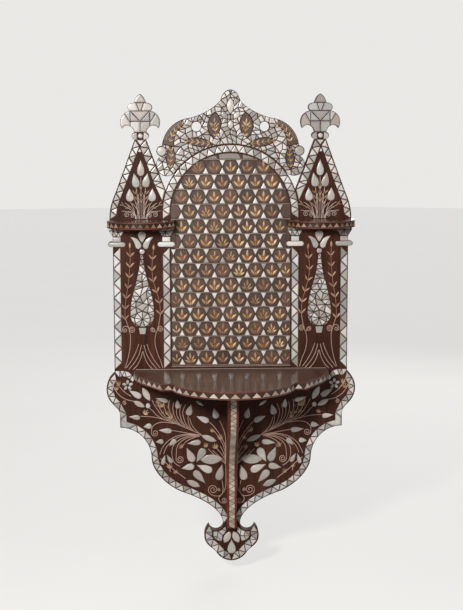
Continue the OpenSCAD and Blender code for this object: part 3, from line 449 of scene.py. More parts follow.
class Inlay:
    def __init__(self):
        self.bm = bmesh.new()
        self.layers = [self.bm.verts.layers.float.new(n) for n in marks]
        self.uv = self.bm.loops.layers.uv.new("layout")

    def ring(self, loop, y, *values):
        made = []
        for x, z in loop:
            made.append(self.bm.verts.new((x * mm, y * mm, z * mm)))
            for layer, value in zip(self.layers, values):
                made[-1][layer] = value
        return made

    def closed(self, rings):
        n = len(rings[0])
        faces = [self.bm.faces.new((b[i], a[i], a[(i + 1) % n], b[(i + 1) % n]))
                 for a, b in zip(rings, rings[1:]) for i in range(n)]
        faces.append(self.bm.faces.new(rings[-1]))
        self.bm.faces.new(rings[0][::-1])
        return faces

    def plate(self, loop, shade, hue, chamfer=0.25, front=inlayFace, crown=0.0):
        rings = [self.ring(loop, plankFace + plateLook["sunk"], shade, hue, 1),
                 self.ring(loop, front + crown + chamfer, shade, hue, 1)]
        eased = insetLoop(loop, chamfer)
        if crown:
            rings.append(self.ring(eased, front + crown, shade, hue, plateLook["rimGrimeAndShade"]))
            eased = drawnIn(eased, plateLook["flat"])
        rings.append(self.ring(eased, front, shade, hue, 0))
        self.closed(rings)

    def shard(self, loop, dice, look):
        self.plate(loop, someShade(dice, look["white"], look["grey"]), dice.random(),
                   plateLook["shardChamfer"], crown=plateLook["shardCrown"])

    def dome(self, loop, shade, hue, rise):
        cx, cz = middleOf(loop)
        about = [(x - cx, z - cz) for x, z in loop]
        lean = math.atan2(sum(2 * x * z for x, z in about), sum(x ** 2 - z ** 2 for x, z in about)) / 2
        ax, az = math.cos(lean), math.sin(lean)
        reach = max(abs(x * ax + z * az) for x, z in about)
        half = max(abs(z * ax - x * az) for x, z in about)
        rings = [self.ring(loop, plankFace + plateLook["sunk"], shade, hue, 1),
                 self.ring(loop, inlayFace + domeLook["lip"], shade, hue, 1)]
        for r in domeLook["steps"]:
            wearGrimeAndShade = domeLook["rimGrimeAndShade"] if r == domeLook["steps"][0] else 0
            rings.append(self.ring(drawnIn(loop, r), inlayFace - rise * (1 - r ** domeLook["roundness"]),
                                   shade, hue, wearGrimeAndShade))
        for face in self.closed(rings):
            face.smooth = True
            for corner in face.loops:
                x, z = corner.vert.co.x * 1000 - cx, corner.vert.co.z * 1000 - cz
                u, v = (x * ax + z * az) / reach, (z * ax - x * az) / half
                corner[self.uv].uv = (u / 2 + 0.5, v / max(0.2, 1 - u * u) / 2 + 0.5)


def meshOf(name, bm):
    bmesh.ops.recalc_face_normals(bm, faces=bm.faces)
    mesh = bpy.data.meshes.new(name)
    bm.to_mesh(mesh)
    bm.free()
    return mesh


def linked(name, data):
    made = bpy.data.objects.new(name, data)
    bpy.context.scene.collection.objects.link(made)
    return made


def dress(mesh, finish):
    mesh.materials.clear()
    mesh.materials.append(finishes[finish])


def seat(name, mesh, finish, nodes=()):
    dress(mesh, finish)
    piece, slot = linked(name, mesh), slots[finish]
    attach(piece, "root")
    if nodes:
        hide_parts(*nodes)


def place(name, bm, finish, nodes=()):
    seat(name, meshOf(name, bm), finish, nodes)


# Planks, shelves, bracket and hidden joinery, with eased edges

def easedCopy(name, node, finish, ease, corner=0.6):
    bm = mergedCopy(node)
    bmesh.ops.dissolve_limit(bm, angle_limit=0.002, verts=bm.verts, edges=bm.edges)
    bm.normal_update()
    sharp = [e for e in bm.edges if len(e.link_faces) == 2 and e.calc_face_angle(0) > corner]
    made = bmesh.ops.bevel(bm, geom=sharp, offset=ease * mm, segments=2, profile=0.6, affect="EDGES",
                           clamp_overlap=True)
    wearGrimeAndShade = bm.verts.layers.float.new("wearGrimeAndShade")
    eased = set(made["faces"])
    for face in eased:
        face.smooth = True
        for v in face.verts:
            if all(f in eased for f in v.link_faces):  # the middle of the rounding
                v[wearGrimeAndShade] = 1
    side = bm.verts.layers.float.new("side")
    for face in bm.faces:
        # the shelves' front edges take painted shade through side; the planks' backs take their bare wood colour
        front = node.endswith("shelf") and abs(face.normal.z) < 0.3
        back = node.endswith("plank") and face.normal.y > 0.9  # dry and unpolished
        if face not in eased and (front or back):
            for v in face.verts:
                v[side] = 1
    bmesh.ops.triangulate(bm, faces=[f for f in bm.faces if len(f.verts) > 4])
    place(name, bm, finish, (node,))


carcass = {"centrePlank": ("centre_plank", "walnut", 0.8), "leftPlank": ("left_plank", "walnut", 0.8),
           "rightPlank": ("right_plank", "walnut", 0.8), "mainShelf": ("main_shelf", "shelfWood", 1.0),
           "bracketBody": ("bracket", "bracketWood", 1.0),
           "leftGallery": ("left_gallery_shelf", "galleryWood", 0.8),
           "rightGallery": ("right_gallery_shelf", "galleryWood", 0.8)}
for name, (node, finish, ease) in carcass.items():
    easedCopy(name, node, finish, ease)
joinery = {"backWood": ("upper_batten", "lower_batten", "seam_dowels", "batten_pegs"),
           "iron": ("shelf_nails", "bracket_nails", "gallery_nails"), "paleWire": ("lattice_wires",)}
for finish, nodes in joinery.items():
    for node in nodes:
        dress(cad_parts[node].data, finish)
print("carcass dressed")


# Zigzag bands and the small triangles of the arched field

bands = {"archBand": ("arch_border",), "innerColumns": ("left_inner_column", "right_inner_column"),
         "outerColumns": ("left_outer_column", "right_outer_column"),
         "spireBands": ("left_spire_border", "right_spire_border"),
         "apronBands": ("left_apron_border", "right_apron_border"), "pendantBand": ("pendant_border",),
         "fieldTriangles": ("lattice_triangles",)}
bandLook = {"line": 0.3, "fineLine": 0.12, "fine": ("archBand", "apronBands", "pendantBand", "fieldTriangles"),
            "white": 0.34, "grey": 0.3, "capX": 214, "capZ": -10}
fieldLook = {"white": 0.6, "grey": 0.14}
dice = random.Random(5)
for name, nodes in bands.items():
    inlay = Inlay()
    line = bandLook["fineLine"] if name in bandLook["fine"] else bandLook["line"]
    for shape in outlinesOf(*nodes):
        x, z = middleOf(shape[0])
        if name == "apronBands" and abs(x) < bandLook["capX"] and z > bandLook["capZ"]:
            continue  # the lobe caps lie there
        inlay.shard(insetLoop(shape[0], line), dice, fieldLook if name == "fieldTriangles" else bandLook)
    place(name, inlay.bm, "shell", nodes)
print("bands laid")


# Mosaic: shards between the outline of a piece and scattered points

# shares of the spacing, and of a shard's area or size
scatter = {"fromEdge": 0.72, "apart": 0.85, "leastBend": 0.12, "leastLeft": 0.25}


def joinedPairs(shards, spots, share, dice, whole):
    sharing = {}
    for k, tri in enumerate(shards):
        for a, b in around(tri):
            sharing.setdefault((min(a, b), max(a, b)), []).append(k)
    pairs = sorted(edge for edge, owners in sharing.items() if len(owners) == 2)
    dice.shuffle(pairs)
    taken, made = set(), []
    for a, b in pairs[:int(len(pairs) * share)]:
        one, other = sharing[(a, b)]
        if one in taken or other in taken or any(spots[i] in whole for i in shards[one] + shards[other]):
            continue
        tip = next(i for i in shards[other] if i not in (a, b))
        k = next(k for k in range(3) if {shards[one][k], shards[one][(k + 1) % 3]} == {a, b})
        four = [spots[i] for i in shards[one][:k + 1] + [tip] + shards[one][k + 1:]]
        bends = [(q[0] - p[0]) * (r[1] - q[1]) - (q[1] - p[1]) * (r[0] - q[0])
                 for p, q, r in zip(four, four[1:] + four[:1], four[2:] + four[:2])]
        if min(bends) > scatter["leastBend"] * area(four):  # a clean four-sided shard only
            taken.update((one, other))
            made.append(four)
    return made + [[spots[i] for i in tri] for k, tri in enumerate(shards) if k not in taken]


def shatter(inlay, loops, look, dice, seeds=()):
    loops = [respaced(loop, look["edge"]) for loop in loops]
    fixed = [p for loop in loops for p in loop]
    xs, zs = [p[0] for p in loops[0]], [p[1] for p in loops[0]]
    points = list(seeds)
    for k in range(look["tries"]):
        p = (dice.uniform(min(xs), max(xs)), dice.uniform(min(zs), max(zs)))
        if inside(p, loops[0]) and not any(inside(p, loop) for loop in loops[1:]) \
                and min(math.dist(p, q) for q in fixed) > scatter["fromEdge"] * look["spacing"] \
                and all(math.dist(p, q) > scatter["apart"] * look["spacing"] for q in points):
            points.append(p)
    edges, start = [], 0
    for loop in loops:
        edges += [(start + i, start + (i + 1) % len(loop)) for i in range(len(loop))]
        start += len(loop)
    corners, _, faces, *_ = delaunay_2d_cdt([Vector(p) for p in fixed + points], edges, [], 2, 1e-4)
    spots = [(c.x, c.y) for c in corners]
    whole = [s for s in spots if any(math.dist(s, q) < 0.01 for q in seeds[:1])]  # the rosette's middle
    shards = []
    for face in faces:
        tri = list(face) if area([spots[i] for i in face]) > 0 else list(face)[::-1]
        middle = middleOf([spots[i] for i in tri])
        if not any(inside(middle, loop) for loop in loops[1:]):
            shards.append(tri)
    for loop in joinedPairs(shards, spots, look["joined"], dice, whole):
        perimeter = sum(math.dist(a, b) for a, b in around(loop))
        keep = 1 - look["line"] / 2 / (2 * area(loop) / perimeter)
        if keep >= scatter["leastLeft"]:
            inlay.shard(drawnIn(loop, keep), dice, look)


dice = random.Random(21)
crest = {"spacing": 9.6, "edge": 8.0, "line": 1.25, "tries": 6000, "joined": 0.75, "white": 0.3, "grey": 0.4}
inlay = Inlay()
for shape in outlinesOf("crest_mosaic"):
    shatter(inlay, shape, crest, dice)
place("crestMosaic", inlay.bm, "shell", ("crest_mosaic",))

lobeCap = {"spacing": 9.0, "edge": 8.5, "line": 1.1, "tries": 200, "joined": 0.6, "white": 0.35, "grey": 0.3}
capEdge = [(219, -0.6), (210.5, -0.6), (201.8, -0.8), (194.5, -2.6), (188.6, -7), (185.4, -12.5), (182.8, -18),
           (186.2, -23.5), (191.4, -17.4), (199.3, -12.8), (206, -11.4), (211.2, -14.2), (219, -4.6)]
inlay = Inlay()
for sign in (-1, 1):
    shatter(inlay, [[(sign * x, z) for x, z in capEdge]], lobeCap, dice)
place("lobeCaps", inlay.bm, "shell")

pendantFill = {"spacing": 9.4, "edge": 9.6, "line": 0.8, "tries": 200, "joined": 0.5, "white": 0.3, "grey": 0.3}
fillEdge = [(11.6, -307.6), (16.6, -312), (20.4, -316), (25, -317.7), (30.2, -318.1), (35.2, -317.3),
            (35.8, -326.6), (33.6, -331.6), (29, -335.4), (24, -337.4), (18.6, -337.4), (18.2, -329.6),
            (15.2, -322), (10, -317)]
pieceDice = random.Random(33)
inlay = Inlay()
for sign in (-1, 1):
    shatter(inlay, [[(sign * x, z) for x, z in fillEdge][::sign]], pendantFill, pieceDice)
place("pendantShards", inlay.bm, "shell")


def cutUp(inlay, loop, middle, cuts, look, dice):
    bm = bmesh.new()
    bm.faces.new([bm.verts.new((x - middle, 0, z)) for x, z in loop])
    for (x0, z0), (x1, z1), (left, right, low, high) in cuts:
        chosen = {}
        for face in bm.faces:
            c = face.calc_center_median_weighted()
            if left < c.x < right and low < c.z < high:
                chosen.update(dict.fromkeys([face] + list(face.edges) + list(face.verts)))
        bmesh.ops.bisect_plane(bm, geom=list(chosen), dist=1e-4, plane_co=(x0, 0, z0),
                               plane_no=(z1 - z0, 0, x0 - x1))
    middles = {face: face.calc_center_median_weighted() for face in bm.faces}
    for face in sorted(bm.faces, key=lambda f: (round(middles[f].z, 2), round(middles[f].x, 2))):
        if math.dist((middles[face].x, middles[face].z), (0, look["beadZ"])) < look["beadSeat"]:
            continue  # the bead lies there
        piece = fromLowest(facing([(v.co.x + middle, v.co.z) for v in face.verts]))
        inlay.plate(insetLoop(piece, look["line"] / 2), dice.uniform(*look["shades"]), dice.random(),
                    plateLook["shardChamfer"], crown=look["crown"])
    bm.free()


# each cut runs through two points, across the pieces whose middles lie in left, right, low, high
finial = {"line": 1.15, "collar": 446, "seam": 466, "waist": 485, "bud": 500, "arm": 18, "wide": 50, "foot": 400,
          "bead": 4.5, "beadZ": 439.6, "beadRise": 1.6, "beadPoints": 20, "beadShade": 0.95, "beadHue": 0.2,
          "beadSeat": 2, "shades": (0.28, 0.74), "crown": 0.18}
collar, seam, waist, bud, arm, wide, foot = (finial[part] for part in (
    "collar", "seam", "waist", "bud", "arm", "wide", "foot"))
cuts = [((0, bud), (9, bud), (-wide, wide, 0, 600)), ((0, waist), (9, waist), (-wide, wide, 0, bud)),
        ((-arm, 0), (-arm, 9), (-wide, wide, collar, waist)), ((arm, 0), (arm, 9), (-wide, wide, collar, waist)),
        ((0, seam), (9, seam), (-arm, arm, foot, waist))]
for s in (-1, 1):
    left, right = sorted((s * arm, s * wide))
    cuts += [((s * 26, seam + 11), (s * 19.5, seam), (left, right, 440, waist)),
             ((s * 7, bud), (s * 1.8, waist), (-wide, wide, waist, bud)),
             ((0, seam), (s * 8.4, seam + 9), (-arm, arm, seam, waist))]
cuts += [((0, collar), (9, collar), (-arm, arm, foot, seam)), ((0, seam), (0, collar), (-arm, arm, collar, seam))]
cuts += [((s * 5.8, collar), (s * 5.2, collar - 13), (-wide, wide, foot, collar)) for s in (-1, 1)]
inlay, beads = Inlay(), Inlay()
for side, sign in sides:
    for shape in outlinesOf(side + "_finial_shell"):
        cutUp(inlay, shape[0], sign * towerX, cuts, finial, dice)
    turns = [math.pi * k / (finial["beadPoints"] / 2) for k in range(finial["beadPoints"])]
    beads.dome([(sign * towerX + finial["bead"] * math.cos(a), finial["beadZ"] + finial["bead"] * math.sin(a))
                for a in turns], finial["beadShade"], finial["beadHue"], finial["beadRise"])
place("finialMosaic", inlay.bm, "shell", ("left_finial_shell", "right_finial_shell"))
place("collarBeads", beads.bm, "pearl")

vases = {"spacing": 11.0, "edge": 10.0, "line": 1.3, "tries": 900, "joined": 0.25, "white": 0.26, "grey": 0.45,
         "rosetteZ": 97, "rosetteR": 15.5, "rays": 9, "shoulder": 165, "lip": 219, "slim": 0.34,
         "bodyArea": 1500, "footShade": 0.45}
tulip = {"lean": -0.8, "rise": 0.8, "spacing": 2.0, "shades": (0.45, 0.95),
         "wing": [(21.4, 252.6), (15.6, 252.6), (7.7, 248.2), (2.3, 240), (1.3, 235.8), (3.2, 231.4),
                  (7, 229.4), (11, 231.8), (14.9, 243.2), (18.2, 248.6)],
         "heart": [(0, 241.8), (3.1, 245.6), (6.7, 252.6), (7.8, 257.6), (5, 262), (0, 263.4), (-5, 262),
                   (-7.8, 257.6), (-6.7, 252.6), (-3.1, 245.6)],
         "knob": [(3.2, 229.2), (-3.2, 229.2), (-5.2, 225.4), (-3, 220.6), (3, 220.6), (5.2, 225.4)]}
inlay, tulips = Inlay(), Inlay()
for side, sign in sides:
    for shape in outlinesOf(side + "_vase"):
        if area(shape[0]) > vases["bodyArea"]:
            cx, cz = sign * towerX, vases["rosetteZ"]
            turns = [k * 2 * math.pi / vases["rays"] for k in range(vases["rays"])]
            rays = [(cx + vases["rosetteR"] * math.sin(a), cz + vases["rosetteR"] * math.cos(a)) for a in turns]
            neck = vases["lip"] - vases["shoulder"]
            slim = [(cx + (x - cx) * (1 - vases["slim"] * max(0, z - vases["shoulder"]) / neck), z)
                    for x, z in shape[0]]
            shatter(inlay, [slim], vases, dice, [(cx, cz)] + rays)
        elif len(shape[0]) == 4:
            inlay.plate(shape[0], vases["footShade"], dice.random())
    wings = [[(hand * x, z) for x, z in tulip["wing"]][::hand] for hand in (-1, 1)]
    for petal in wings + [tulip["heart"], tulip["knob"]]:
        outline = facing([(sign * (towerX + tulip["lean"] + x), z) for x, z in petal])
        shade = pieceDice.uniform(*tulip["shades"])
        tulips.dome(respaced(outline, tulip["spacing"]), shade, pieceDice.random(), tulip["rise"])
place("vaseMosaic", inlay.bm, "shell", ("left_vase", "right_vase"))
place("tulipPetals", tulips.bm, "pearl")

capital = {"spacing": 11.0, "edge": 9.5, "line": 1.1, "tries": 300, "joined": 0, "white": 0.22, "grey": 0.5,
           "blockHeight": 15, "ringSpacing": 2.0, "rise": 0.9, "outer": (0.4, 0.6), "inner": (0.82, 0.97)}
inlay = Inlay()
for shape in outlinesOf("left_capitals", "right_capitals"):
    heights = [p[1] for p in shape[0]]
    far = abs(middleOf(shape[0])[0]) > towerX  # the outer capitals are greyer
    if max(heights) - min(heights) > capital["blockHeight"]:
        shatter(inlay, shape, capital, dice)
    else:
        shade = dice.uniform(*capital["outer" if far else "inner"])
        inlay.dome(respaced(shape[0], capital["ringSpacing"]), shade, dice.random(), capital["rise"])
place("capitalShell", inlay.bm, "shell", ("left_capitals", "right_capitals"))
print("mosaic shattered")


# Domed petals

petalSets = {"apronPetals": ("left_apron_petals", "right_apron_petals"),
             "spirePetals": ("left_spire_petals", "right_spire_petals"),
             "crestPetals": ("crest_petals",), "pendantPetals": ("pendant_petals",)}
# the pendant's petals are kept light, as painted light for the pendant's well-lit place
petalLook = {"spacing": 1.8, "rise": 0.9, "dark": 0.25, "pendantPaintedLight": 0.7, "light": 0.95}
dice = random.Random(8)
for name, nodes in petalSets.items():
    inlay = Inlay()
    dark = petalLook["pendantPaintedLight" if name == "pendantPetals" else "dark"]
    for shape in outlinesOf(*nodes):
        shade = dice.uniform(dark, petalLook["light"])
        inlay.dome(respaced(shape[0], petalLook["spacing"]), shade, dice.random(), petalLook["rise"])
    place(name, inlay.bm, "pearl", nodes)
print("petals domed")


# Roundels of the arched field and the dark crest panels

roundels = {"halfWidth": 14.0, "halfHeight": 12.8, "squareness": 2.15, "points": 32, "rim": 1.1, "cutRim": 0.5,
            "reach": 16.0, "halvings": 16, "sunk": 0.2, "shades": (0.2, 0.9), "wholeArea": 560, "sprigArea": 430}
# the field's edge beside the columns, under the capitals
fieldEdge = {"below": 218, "outer": 92.1, "reach": (111.8, 102.8, 107.4), "tall": (12.7, 12.7, 1.6)}
dice = random.Random(3)
inlay, sprigSpots, edgeSpots, edgeRows = Inlay(), [], [], []
for shape in outlinesOf("lattice_roundels"):
    loop = shape[0]
    whole = area(loop) > roundels["wholeArea"]
    cx, cz = middleOf(loop)
    if whole:
        cx, cz = ((min(p[k] for p in loop) + max(p[k] for p in loop)) / 2 for k in (0, 1))
    rounded = []
    for k in range(roundels["points"]):
        a = 2 * math.pi * k / roundels["points"]
        low, high = 0.0, roundels["reach"]
        for _ in range(roundels["halvings"]):
            r = (low + high) / 2
            oval = abs(r * math.cos(a) / roundels["halfWidth"]) ** roundels["squareness"] \
                + abs(r * math.sin(a) / roundels["halfHeight"]) ** roundels["squareness"]
            if oval < 1 and inside((cx + r * math.cos(a), cz + r * math.sin(a)), loop):
                low = r
            else:
                high = r
        rounded.append((cx + low * math.cos(a), cz + low * math.sin(a)))
    shade = dice.uniform(*roundels["shades"])
    rim = roundels["rim" if whole else "cutRim"]
    inlay.plate(rounded, shade, dice.random(), rim, inlayFace + roundels["sunk"])
    if area(loop) > roundels["sprigArea"]:
        sprigSpots.append((cx, cz))
    elif cz < fieldEdge["below"]:
        edgeSpots.append((cx, cz))
    if whole and abs(abs(cx) - fieldEdge["outer"]) < 2 and cz < fieldEdge["below"]:
        edgeRows.append((cx, cz))
place("fieldRoundels", inlay.bm, "roundelWood", ("lattice_roundels",))
inlay = Inlay()
for cx, cz in edgeRows:
    for s in (-1, 1):
        corners = [(math.copysign(x, cx), cz + s * h) for x, h in zip(fieldEdge["reach"], fieldEdge["tall"])]
        inlay.shard(facing(corners), pieceDice, fieldLook)
place("edgeTriangles", inlay.bm, "shell")

# the ground that the field is laid in, and the grey shell above the top row
field = {"half": 111.5, "foot": 9, "spring": 296, "arcSteps": 48, "rowsTop": 396.6, "proud": 0.2, "ease": 0.05,
         "crownCuts": (-60, -22, 20, 60), "seam": 0.5, "line": 0.6}
turns = [math.pi * k / field["arcSteps"] for k in range(field["arcSteps"] + 1)]
arch = [(field["half"] * math.cos(a), field["spring"] + field["half"] * math.sin(a)) for a in turns]
ground = Inlay()
ground.plate([(-field["half"], field["foot"]), (field["half"], field["foot"])] + arch, 0.5, 0.5, field["ease"],
             plankFace - field["proud"])
place("fieldGround", ground.bm, "fieldWood")
crown = Inlay()
ends = [p for p in arch if p[1] > field["rowsTop"]]
for left, right in zip(field["crownCuts"], field["crownCuts"][1:]):
    top = [p for p in ends if left < p[0] < right]
    last = min(right, top[0][0]) if right == field["crownCuts"][-1] else right
    first = max(left, top[-1][0])
    loop = top + [(first + field["seam"], field["rowsTop"]), (last - field["seam"], field["rowsTop"])]
    crown.plate(insetLoop(loop, field["line"]), dice.random(), dice.random(), plateLook["shardChamfer"])
place("fieldCrown", crown.bm, "greyShell")

panels = {"spacing": 2.0, "shades": (0.3, 0.7), "chamfer": 0.6}
inlay = Inlay()
for shape in outlinesOf("crest_panels"):
    shade = dice.uniform(*panels["shades"])
    inlay.plate(respaced(shape[0], panels["spacing"]), shade, dice.random(), panels["chamfer"])
place("crestPanels", inlay.bm, "roundelWood", ("crest_panels",))
print("roundels laid", len(sprigSpots))


# Geometry Nodes: sprigs on points, leaf pairs along stems, wires swept along lines

class Grower(Nodes):
    def __init__(self, name, inputs):
        super().__init__(bpy.data.node_groups.new(name, "GeometryNodeTree"))
        sockets = self.tree.interface
        sockets.new_socket("Geometry", in_out="INPUT", socket_type="NodeSocketGeometry")
        for label, kind, value in inputs:
            made = sockets.new_socket(label, in_out="INPUT", socket_type="NodeSocket" + kind)
            if value is not None:
                made.default_value = value
        sockets.new_socket("Geometry", in_out="OUTPUT", socket_type="NodeSocketGeometry")
        self.start = self.tree.nodes.new("NodeGroupInput")

    def given(self, label):
        return Value(self, self.start.outputs[label])

    def roll(self, least, most, seed):
        return self.node("FunctionNodeRandomValue", {2: least, 3: most, "Seed": seed}, 1, data_type="FLOAT")

    def toned(self, geometry, domain, tone):
        values = {"Geometry": geometry, "Name": "shade", "Value": tone}
        return self.node("GeometryNodeStoreNamedAttribute", values, data_type="FLOAT", domain=domain)

    def leaves(self, points, rotation, seed, tone):
        leaf = self.node("GeometryNodeObjectInfo", {0: self.given("Leaf"), 1: True}, "Geometry")
        size = self.roll(self.given("Smallest"), self.given("Largest"), seed)
        grown = self.node("GeometryNodeInstanceOnPoints",
                          {"Points": points, "Instance": leaf, "Rotation": rotation, "Scale": size})
        self.finish(self.toned(grown, "INSTANCE", tone))

    def finish(self, geometry):
        whole = self.node("GeometryNodeRealizeInstances", {0: geometry})
        done = self.node("GeometryNodeSetMaterial", {"Geometry": whole, "Material": self.given("Material")})
        self.node("NodeGroupOutput", {0: done})


leafInputs = [("Leaf", "Object", None), ("Smallest", "Float", 0.9), ("Largest", "Float", 1.1),
              ("Turn", "Float", 0.1), ("Seed", "Int", 1), ("Material", "Material", None)]
sprigTree = g = Grower("sprigsOnRoundels", leafInputs)
turn = g.roll(-1.0, 1.0, g.given("Seed")) * g.given("Turn")
spin = g.node("FunctionNodeEulerToRotation", {0: g.node("ShaderNodeCombineXYZ", {1: turn})})
g.leaves(g.given("Geometry"), spin, 7, g.roll(0.15, 0.95, 9))

sprayTree = g = Grower("leavesOnStems", leafInputs + [("Spacing", "Float", 0.02)])
dotted = g.node("GeometryNodeResampleCurve", {"Curve": g.given("Geometry"), "Length": g.given("Spacing")},
                mode="LENGTH")
aim = g.node("FunctionNodeAlignRotationToVector", {"Vector": g.node("GeometryNodeInputTangent")},
             axis="Z", pivot_axis="Y")
g.leaves(dotted, aim, g.given("Seed"), g.roll(0.2, 0.9, 4))

wireTree = g = Grower("wiresOnLines", [("Radius", "Float", 0.0005), ("Shade", "Float", 0.6),
                                       ("Material", "Material", None)])
profile = g.node("GeometryNodeCurvePrimitiveCircle", {"Resolution": 6, "Radius": g.given("Radius")})
swept = g.node("GeometryNodeCurveToMesh",
               {"Curve": g.given("Geometry"), "Profile Curve": profile, "Fill Caps": True})
toned = g.toned(swept, "POINT", g.given("Shade"))
g.finish(g.node("GeometryNodeSetShadeSmooth", {"Geometry": toned}))


def grow(name, data, grower, finish, values):
    source = linked("source", data)
    made = source.modifiers.new("grow", "NODES")
    made.node_group = grower.tree
    values = {**values, "Material": finishes[finish]}
    for item in grower.tree.interface.items_tree:
        if item.in_out == "INPUT" and item.name in values:
            made[item.identifier] = values[item.name]
    graph = bpy.context.evaluated_depsgraph_get()
    mesh = bpy.data.meshes.new_from_object(source.evaluated_get(graph))
    bpy.data.objects.remove(source)
    mesh.name = name
    seat(name, mesh, finish)


def lineData(lines, y):
    curve = bpy.data.curves.new("lines", "CURVE")
    curve.dimensions = "3D"
    for line in lines:
        spline = curve.splines.new("POLY")
        spline.points.add(len(line) - 1)
        for point, spot in zip(spline.points, line):
            x, deep, z = spot if len(spot) == 3 else (spot[0], y, spot[1])
            point.co = (x * mm, deep * mm, z * mm, 1)
    return curve


def leafInto(bm, x, z, lean, length, width, rise):
    a = math.radians(lean)
    up, across = Vector((math.sin(a), 0, math.cos(a))), Vector((math.cos(a), 0, -math.sin(a)))
    foot = Vector((x, 0, z))
    base, tip = bm.verts.new(foot * mm), bm.verts.new((foot + up * length) * mm)
    rows = []
    for t, w in ((0.22, 0.7), (0.5, 1.0), (0.78, 0.66)):  # shares of the length and of the width
        spots = [foot + up * length * t + across * width / 2 * w * s + Vector((0, -rise * w * (1 - abs(s)), 0))
                 for s in (-1, 0, 1)]
        rows.append([bm.verts.new(spot * mm) for spot in spots])
    for s in (0, 1):
        bm.faces.new((base, rows[0][s], rows[0][s + 1]))
        for low, high in zip(rows, rows[1:]):
            bm.faces.new((low[s], high[s], high[s + 1], low[s + 1]))
        bm.faces.new((rows[2][s], tip, rows[2][s + 1]))
    bm.faces.new([base] + [r[2] for r in rows] + [tip] + [r[0] for r in rows[::-1]])


def leafObject(leaves):
    bm = bmesh.new()
    for leaf in leaves:
        leafInto(bm, *leaf)
    return bpy.data.objects.new("leaf", meshOf("leaf", bm))


def sprigsAt(name, points, y, finish, leaves, least, most, turn, seed):
    mesh = bpy.data.meshes.new("points")
    mesh.from_pydata([(x * mm, y * mm, z * mm) for x, z in points], [], [])
    grow(name, mesh, sprigTree, finish, {"Leaf": leafObject(leaves), "Smallest": least, "Largest": most,
                                         "Turn": turn, "Seed": seed})


def wires(name, lines, y, finish, radius, shade=0.6):
    grow(name, lineData(lines, y), wireTree, finish, {"Radius": radius * mm, "Shade": shade})


# each leaf is x, z, lean in degrees, length, width and rise, in mm
sprigs = {"three": [(0, -1.5, 0, 12.8, 3.9, 0.7), (-1.9, -9.2, -37, 14, 4.1, 0.7), (1.9, -9.2, 37, 14, 4.1, 0.7),
                    (0, -11, 0, 9, 1.6, 0.5)],
          "five": [(0, -2.5, 0, 13.5, 3.8, 0.7), (-1.6, -7.5, -26, 13.5, 3.5, 0.7),
                   (1.6, -7.5, 26, 13.5, 3.5, 0.7), (-2, -9.6, -54, 11, 3.3, 0.6), (2, -9.6, 54, 11, 3.3, 0.6),
                   (0, -11, 0, 7, 1.6, 0.4)],
          "heart": [(0, -10.5, 0, 17, 9.5, 0.12), (-1, -9.5, -32, 12, 6.5, 0.1), (1, -9.5, 32, 12, 6.5, 0.1)],
          "y": inlayFace + 0.15, "heartY": inlayFace + 0.15 + 0.03, "size": (0.84, 1.02),
          "edgeSize": (0.7, 0.78), "turn": 0.16, "fiveIn": 6}
sprigSpots += [(s * 29.6, 463) for s in (-1, 1)]  # the middle crest panels
threes = [p for i, p in enumerate(sprigSpots) if i % sprigs["fiveIn"]]
fives = [p for i, p in enumerate(sprigSpots) if i % sprigs["fiveIn"] == 0]
for name, points, leaves, y, size, seed, finish in (
        ("threeLeafSprigs", threes, "three", "y", "size", 2, "goldLeaf"),
        ("fiveLeafSprigs", fives, "five", "y", "size", 2, "goldLeaf"),
        ("edgeSprigs", edgeSpots, "three", "y", "edgeSize", 6, "goldLeaf"),
        ("sprigHearts", threes, "heart", "heartY", "size", 2, "russet")):
    sprigsAt(name, points, sprigs[y], finish, sprigs[leaves], *sprigs[size], sprigs["turn"], seed)
print("sprigs grown")


def curl(a, b, c, d, n=16):
    made = []
    for i in range(n + 1):
        t, u = i / n, 1 - i / n
        made.append(tuple(u ** 3 * a[k] + 3 * u * u * t * b[k] + 3 * u * t * t * c[k] + t ** 3 * d[k]
                          for k in (0, 1)))
    return made


def scroll(cx, cz, r, start, turns, hand=1, perTurn=22, closing=0.82):
    steps = int(turns * perTurn)
    made = []
    for i in range(steps + 1):
        a, reach = math.radians(start) + hand * 2 * math.pi * turns * i / steps, r * (1 - closing * i / steps)
        made.append((cx + reach * math.cos(a), cz + reach * math.sin(a)))
    return made


def through(points, n=6):
    ends = [points[0]] + points + [points[-1]]
    made = []
    for a, b, c, d in zip(ends, ends[1:], ends[2:], ends[3:]):
        for t in [i / n for i in range(n)]:
            made.append(tuple(b[k] + t * (c[k] - a[k]) / 2 + t * t * (a[k] - 2.5 * b[k] + 2 * c[k] - d[k] / 2)
                              + t ** 3 * (3 * b[k] - a[k] - 3 * c[k] + d[k]) / 2 for k in (0, 1)))
    return made + [points[-1]]


def mirrored(lines, order=(1, -1)):
    return [[(s * x, z) for x, z in line] for s in order for line in lines]


def onTowers(lines):
    return mirrored([[(towerX + x, z) for x, z in line] for line in lines])


